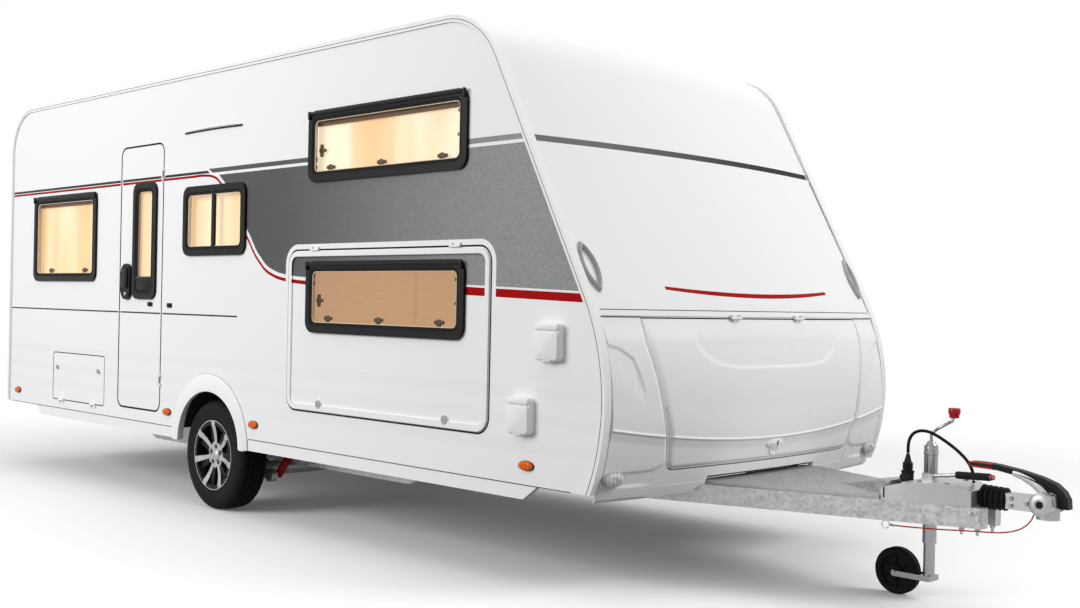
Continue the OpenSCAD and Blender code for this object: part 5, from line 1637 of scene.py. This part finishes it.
ring_feet = [PLUG_RING_Z + PLUG_RING_GAP * k for k in range(PLUG_RINGS)]
plug_rings = [(r, z + h) for z in ring_feet for r, h in PLUG_RING]
plug_profile = [*PLUG_FOOT, *plug_rings, *PLUG_NECK]
piece("brake_grip", grip(GRIP_FROM, GRIP_TO, 0.0150, 0.0166, 44), black_grain)
piece("brake_button", lathe(BUTTON, BUTTON_AT, (1, 0, 0.04), 20), red_plastic)
piece("crank_knob", lathe(KNOB, JOCKEY_AT + CRANK_REACH, UP, 12), red_plastic)
piece("jockey_collar", lathe(COLLAR, JOCKEY_AT, UP, 40), zinc)
piece("plug_rings", lathe(plug_profile, PARK_AT, UP, 32), black_grain)
print("grip, knob, collar and plug dressed")

# %% [markdown]
# ## Fittings on the sides
# The right wall carries locks, the door's handle, a clip that holds the open door, and a gutter over the
# kitchen window. They are turned knobs, plates cut from rounded outlines and a swept bar, laid on the wall
# at the X and Z where the photograph shows them. Each one rides on the panel that it's fixed to.

# %% Door furniture, hatch and flap locks, gutter
def knob_lock(x, z, out, radius):
    """A round lock with a recessed ring and a slot for the key."""
    body = [(radius, -0.002), (radius, 0.002), (radius * 0.86, 0.0042), (radius * 0.62, 0.0042),
            (radius * 0.56, 0.0026), (radius * 0.42, 0.0026), (radius * 0.36, 0.0046), (0.0001, 0.0050)]
    key = rounded(x - 0.0012, z - radius * 0.3, 0.0024, radius * 0.6, 0.001, 3)
    slot = plate(key, out + 0.003, out + 0.0056, 0.0004, on_right)
    return lathe(body, on_right(x, z, out), (0, -1, 0), 32), slot


def door_furniture():
    low_at, high_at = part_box("door_handle")
    u, v, out = low_at.x, low_at.z, -HALF_W - low_at.y
    wide, tall = high_at.x - u, high_at.z - v
    paddle = rounded(u + 0.030, v + 0.070, wide - 0.060, 0.135, 0.026, 8)
    edge = rounded(u + 0.006, v + 0.006, wide - 0.012, tall - 0.012, 0.056, 8)
    rim = sweep([on_right(a, b, out) for a, b in edge + edge[:1]], 0.003, 8, 1.0, (0, 1, 0))
    lock = [(0.013, -0.002), (0.013, 0.003), (0.010, 0.005), (0.0001, 0.0055)]
    lock = lathe(lock, on_right(u + wide / 2, v + 0.036, out), (0, -1, 0), 24)
    return joined(plate(paddle, out * 0.45, out + 0.010, 0.006, on_right), rim), lock


def clip(x, z, body):
    """Half of the catch that holds the open door."""
    base = plate(rounded(x - 0.030, z - 0.014, 0.060, 0.028, 0.008, 4), -0.001, 0.006, 0.002, on_right)
    nose = plate(rounded(x - 0.014, z - 0.009, 0.028, 0.018, 0.006, 4), 0.004, 0.013, 0.003, on_right)
    piece(f"{body}_clip", joined(base, nose), black_grain, body)


LOCKS = ((0.244, 0.711, "hatch", 0.0225), (1.271, 0.711, "hatch", 0.0225),
         (-2.920, 0.754, "flap", 0.0165), (-2.295, 0.754, "flap", 0.0165))
GUTTER_X, GUTTER_LONG, GUTTER_Z = -1.203, 0.642, 2.275
handle_shape, handle_lock = door_furniture()
piece("handle_lever", handle_shape, black_frame, "door")
piece("handle_lock", handle_lock, zinc, "door")
clip(-1.609, 1.217, "door")
clip(-1.362, 1.213, "caravan")
for number, (x, z, body, radius) in enumerate(LOCKS):
    knob_shape, slot_shape = knob_lock(x, z, 0.008, radius)
    piece(f"{body}_lock_{number}", knob_shape, grey_trim, body)
    piece(f"{body}_lock_slot_{number}", slot_shape, black_gap, body)
gutter = [on_right(GUTTER_X + GUTTER_LONG * k / 16, GUTTER_Z + 0.004 * math.sin(math.pi * k / 16), 0.003)
          for k in range(17)]
radii = [0.009 * min(1.0, 0.35 + 0.3 * min(k, 16 - k)) for k in range(17)]
piece("rain_gutter", sweep(gutter, radii, 10, 0.7), grey_trim)
gutter_seal = sweep([p + Vector((0, -0.0015, -0.0075)) for p in gutter], 0.0042, 8)
piece("gutter_seal", gutter_seal, black_gap)
print("door, hatch and flap furniture made")

# %% [markdown]
# ## Seals and arches
# Light from inside would show through the gaps round the door, the hatch and the flap, so a dark rubber seal
# closes each gap on the wall's inner side, and a black bead lines the opening's edge outside. Both follow the
# opening's rounded outline, drawn in or out. The wheel arches get a broad moulded flare, lofted between the
# opening and an outer ellipse.

# %% Seals behind the gaps, beads and arch flares
BEAD_LIP = {"door": 0.0055, "hatch": 0.0030, "flap": 0.0004}
ARCH_Z, ARCH_INNER, ARCH_RIDGE, ARCH_OUTER = 0.3955, (0.3430, 0.3125), (0.4040, 0.4040), (0.4280, 0.4160)
ARCH_ROWS = ((ARCH_INNER, -0.010), (ARCH_INNER, 0.0108), (ARCH_RIDGE, 0.0124), (ARCH_OUTER, 0.0038),
             (ARCH_OUTER, 0.0004))
SEAL_NEAR, SEAL_FAR = -0.0350, -0.0385


def gap_seal(x, z, wide, tall, radius):
    """A flat ring on the inside of the right wall, across the gap of an opening."""
    outer = rounded(x - 0.014, z - 0.012, wide + 0.028, tall + 0.024, radius + 0.014, 8)
    inner = rounded(x + 0.016, z + 0.016, wide - 0.032, tall - 0.032, radius - 0.014, 8)
    rows = [(inner, SEAL_NEAR), (outer, SEAL_NEAR), (outer, SEAL_FAR), (inner, SEAL_FAR), (inner, SEAL_NEAR)]
    return stacked(rows, on_right, caps=False)


def edge_bead(x, z, wide, tall, radius, lip):
    """Black rubber round an opening's edge, from a lip on the wall into the gap."""
    profile = ((-lip, -0.0004), (-lip, 0.0008), (0.0028, 0.0010), (0.0045, -0.0006), (0.0045, -0.0120),
               (0.0003, -0.0120), (0.0003, -0.0004), (-lip, -0.0004))
    rings = [(rounded(x + d, z + d, wide - 2 * d, tall - 2 * d, radius - d, 10), w) for d, w in profile]
    return stacked(rings, on_right, caps=False)


def arch_flare(on):
    """The flare and the thin joint round it."""
    sections, line = [], []
    for turn in spread(0, math.pi, 60):
        c, s = math.cos(turn), math.sin(turn)
        sections.append([on(AXLE_X + a * c, ARCH_Z + b * s, w) for (a, b), w in ARCH_ROWS])
        a, b = ARCH_OUTER
        line.append(on(AXLE_X + (a + 0.002) * c, ARCH_Z + (b + 0.002) * s, 0.0004))
    return loft(sections), sweep(line, 0.0018, 6, 1.0, (0, 1, 0))


for name, opening in OPENINGS.items():
    piece(f"{name}_gap_seal", gap_seal(*opening), rubber)
    piece(f"{name}_bead", edge_bead(*opening, BEAD_LIP[name]), black_gap)
for side, word, on in SIDES:
    flare, flare_line = arch_flare(on)
    piece(f"arch_flare_{word}", flare, white_mould, sharp=50)
    piece(f"arch_line_{word}", flare_line, grey_trim)
print("openings sealed:", len(OPENINGS), "arches:", len(SIDES))

# %% [markdown]
# ## Socket boxes and side lamps
# The socket boxes have a hood and a flap, and the side lamps an oval foot and a domed lens. In the solids
# both are plain blocks, which fix where they sit. Their boxes are measured from the solids, and plates and
# lofted ovals take their places, so that they move with the solids if those change.

# %% Hooded boxes and lamp domes
MARKER_FOOT = ((1.0, 0.0004), (1.0, 0.0045), (0.96, 0.0062), (0.88, 0.0062))
MARKER_DOME = ((0.92, 0.0040), (0.92, 0.0090), (0.86, 0.0130), (0.72, 0.0160), (0.48, 0.0176),
               (0.15, 0.0182))
MARKER_HALF_X, MARKER_HALF_Z = 0.049, 0.0235


def socket_box(low_at, high_at, on):
    """A box on the wall with a hood, a flap that hinges under it and a lip for the finger."""
    u, v, wide, tall = low_at.x, low_at.z, high_at.x - low_at.x, high_at.z - low_at.z
    out = max(abs(low_at.y), abs(high_at.y)) - HALF_W
    base = rounded(u, v, wide, tall, 0.022, 6)
    hood = rounded(u + 0.003, v + tall - 0.030, wide - 0.006, 0.028, 0.010, 4)
    flap = rounded(u + 0.004, v + 0.004, wide - 0.008, tall - 0.038, 0.018, 6)
    lip = rounded(u + wide * 0.32, v - 0.003, wide * 0.36, 0.012, 0.005, 4)
    return joined(plate(base, 0.0, out - 0.010, 0.003, on), plate(hood, 0.02, out - 0.0004, 0.005, on),
                  plate(flap, 0.02, out - 0.0006, 0.006, on), plate(lip, 0.02, out - 0.004, 0.003, on))


def marker_oval(low_at, high_at, on, rows):
    """Ovals of the given shares of a side lamp's size, at their heights."""
    u, v = (low_at.x + high_at.x) / 2, (low_at.z + high_at.z) / 2
    return loft([[on(u + MARKER_HALF_X * s * math.cos(t), v + MARKER_HALF_Z * s * math.sin(t), w)
                  for t in full_turn(40)] for s, w in rows])


def on_sides(node):
    """Boxes of a node's parts, each with the function that places points on its wall."""
    return [(low_at, high_at, on_right if high_at.y < 0 else on_left) for low_at, high_at in parts_of(node)]


boxes_made = joined(*[socket_box(*spot) for spot in on_sides("socket_boxes")])
hooded_boxes = piece("hooded_boxes", boxes_made, white_mould)
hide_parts("socket_boxes")
markers = on_sides("side_lamps")
domes = joined(*[marker_oval(*spot, MARKER_DOME) for spot in markers])
marker_domes = piece("marker_domes", domes, amber_lens)
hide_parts("side_lamps")
feet = joined(*[marker_oval(*spot, MARKER_FOOT) for spot in markers])
piece("marker_feet", feet, catch_brown)
print("side lamps:", len(markers))

# %% [markdown]
# ## Seams
# Along the rails, over the skirts and beside the locker lid's hinge strip, sheets meet in a thin dark line.
# The solids touch there without a gap, and a printed line would have no depth. So each seam is a thin bar
# along the body's outline, drawn in a little and half sunk in the wall.

# %% Seams along the rails, the skirts and the hinge strip
SIDE_FOOT, ROOF_Z, REAR_R, TOP_R = 0.462, 2.640, 0.33, 0.42
SILL_Z, SILL_REAR, SILL_FRONT, SILL_ARCH = 0.463, -3.70, 2.10, 0.44
STRIP_Z, CHEEK_SEAM_Z = 1.2545, 1.2225


def side_outline(d):
    """The body's outline in X and Z drawn in by d, from the rear foot over the roof to the front foot."""
    top_z = ROOF_Z - TOP_R + TOP_R * math.sin(SLOPE)
    top_x = FOOT_X - (top_z - FOOT_Z) * math.tan(SLOPE) - TOP_R * math.cos(SLOPE)
    foot = math.degrees(math.asin((SIDE_FOOT - BULGE_Z) / (BULGE_R - d)))
    slope = math.degrees(SLOPE)
    return ([(X_REAR + d, SIDE_FOOT + 0.01)]
            + arc((X_REAR + REAR_R, ROOF_Z - REAR_R), REAR_R - d, 180, 90, 16)
            + arc((top_x, ROOF_Z - TOP_R), TOP_R - d, 90, slope, 14)
            + arc((X_FRONT - BULGE_R, BULGE_Z), BULGE_R - d, slope, foot, 26))


def seam(name, path, radius, finish=black_gap, up=(0, 1, 0)):
    piece(name, sweep(path, radius, 6, 1.0, up), finish)


for side, word, on in SIDES:
    seam(f"rail_slot_{word}", [on(x, z, 0.0057) for x, z in side_outline(0.020)], 0.0016)
    seam(f"rail_seam_{word}", [on(x, z, 0.0004) for x, z in side_outline(0.0365)], 0.0014, grey_trim)
    rear = spread(SILL_REAR, AXLE_X - SILL_ARCH, 12)
    front = spread(AXLE_X + SILL_ARCH, SILL_FRONT, 20)
    seam(f"sill_rear_{word}", [on(x, SILL_Z, -0.0006) for x in rear], 0.0022)
    seam(f"sill_front_{word}", [on(x, SILL_Z, -0.0006) for x in front], 0.0022)
seam("strip_seam", [on_front(y, STRIP_Z, 0.0005) for y in spread(-1.09, 1.09, 60)], 0.0018, up=UP)
for side, word, on in SIDES:
    line = [on_front(side * y, CHEEK_SEAM_Z, 0.0012) for y in spread(0.878, 1.095, 10)]
    seam(f"cheek_seam_{word}", line, 0.0018, up=UP)
print("seams made")

# %% [markdown]
# ## Roof and left side
# The photograph doesn't show these sides, so they keep to what is usual: a seal and a flange under each roof
# light, ribs on its lid, and dark mesh behind the refrigerator's louvres. Their places come from the solids'
# boxes, and like the fittings on the walls they are plates and swept bars.

# %% Roof light frames and vent mesh
LID_RIBS = (0.22, 0.36, 0.5, 0.64, 0.78)
VENT_EDGE = 0.022


def light_frame(low_at, high_at):
    """A seal and a flange round a roof light's foot, and ribs across its lid."""
    u, v = low_at.x, low_at.y
    wide, deep = high_at.x - u, high_at.y - v

    def on_roof(a, b, w):
        return Vector((a, b, low_at.z + w))

    flange = rounded(u - 0.022, v - 0.022, wide + 0.044, deep + 0.044, 0.06, 6)
    seal = rounded(u - 0.006, v - 0.006, wide + 0.012, deep + 0.012, 0.052, 6)
    high = high_at.z - low_at.z
    shapes = [plate(flange, 0.0, 0.012, 0.004, on_roof)]
    for part in LID_RIBS:
        rib = [on_roof(u + wide * part, v + deep * (0.14 + 0.72 * k / 8), high - 0.0045) for k in range(9)]
        shapes.append(sweep(rib, 0.006, 10, 0.7))
    return joined(*shapes), plate(seal, 0.008, 0.020, 0.003, on_roof)


def vent_mesh(low_at, high_at):
    u, v = low_at.x + VENT_EDGE, low_at.z + VENT_EDGE
    wide, tall = high_at.x - low_at.x - 2 * VENT_EDGE, high_at.z - low_at.z - 2 * VENT_EDGE
    return plate(rounded(u, v, wide, tall, 0.012, 4), 0.0002, 0.004, 0.0008, on_left)


frames = [light_frame(low_at, high_at) for low_at, high_at in parts_of("roof_lights")]
piece("light_flanges", joined(*[a for a, b in frames]), white_mould)
piece("light_seals", joined(*[b for a, b in frames]), rubber)
meshes = [vent_mesh(low_at, high_at) for low_at, high_at in parts_of("vents")]
piece("vent_mesh", joined(*meshes), black_gap)
print("roof lights:", len(frames), "vents:", len(meshes))

# %% [markdown]
# ## Last update
# The last line updates the view layer.

# %% Update the view layer
bpy.context.view_layer.update()
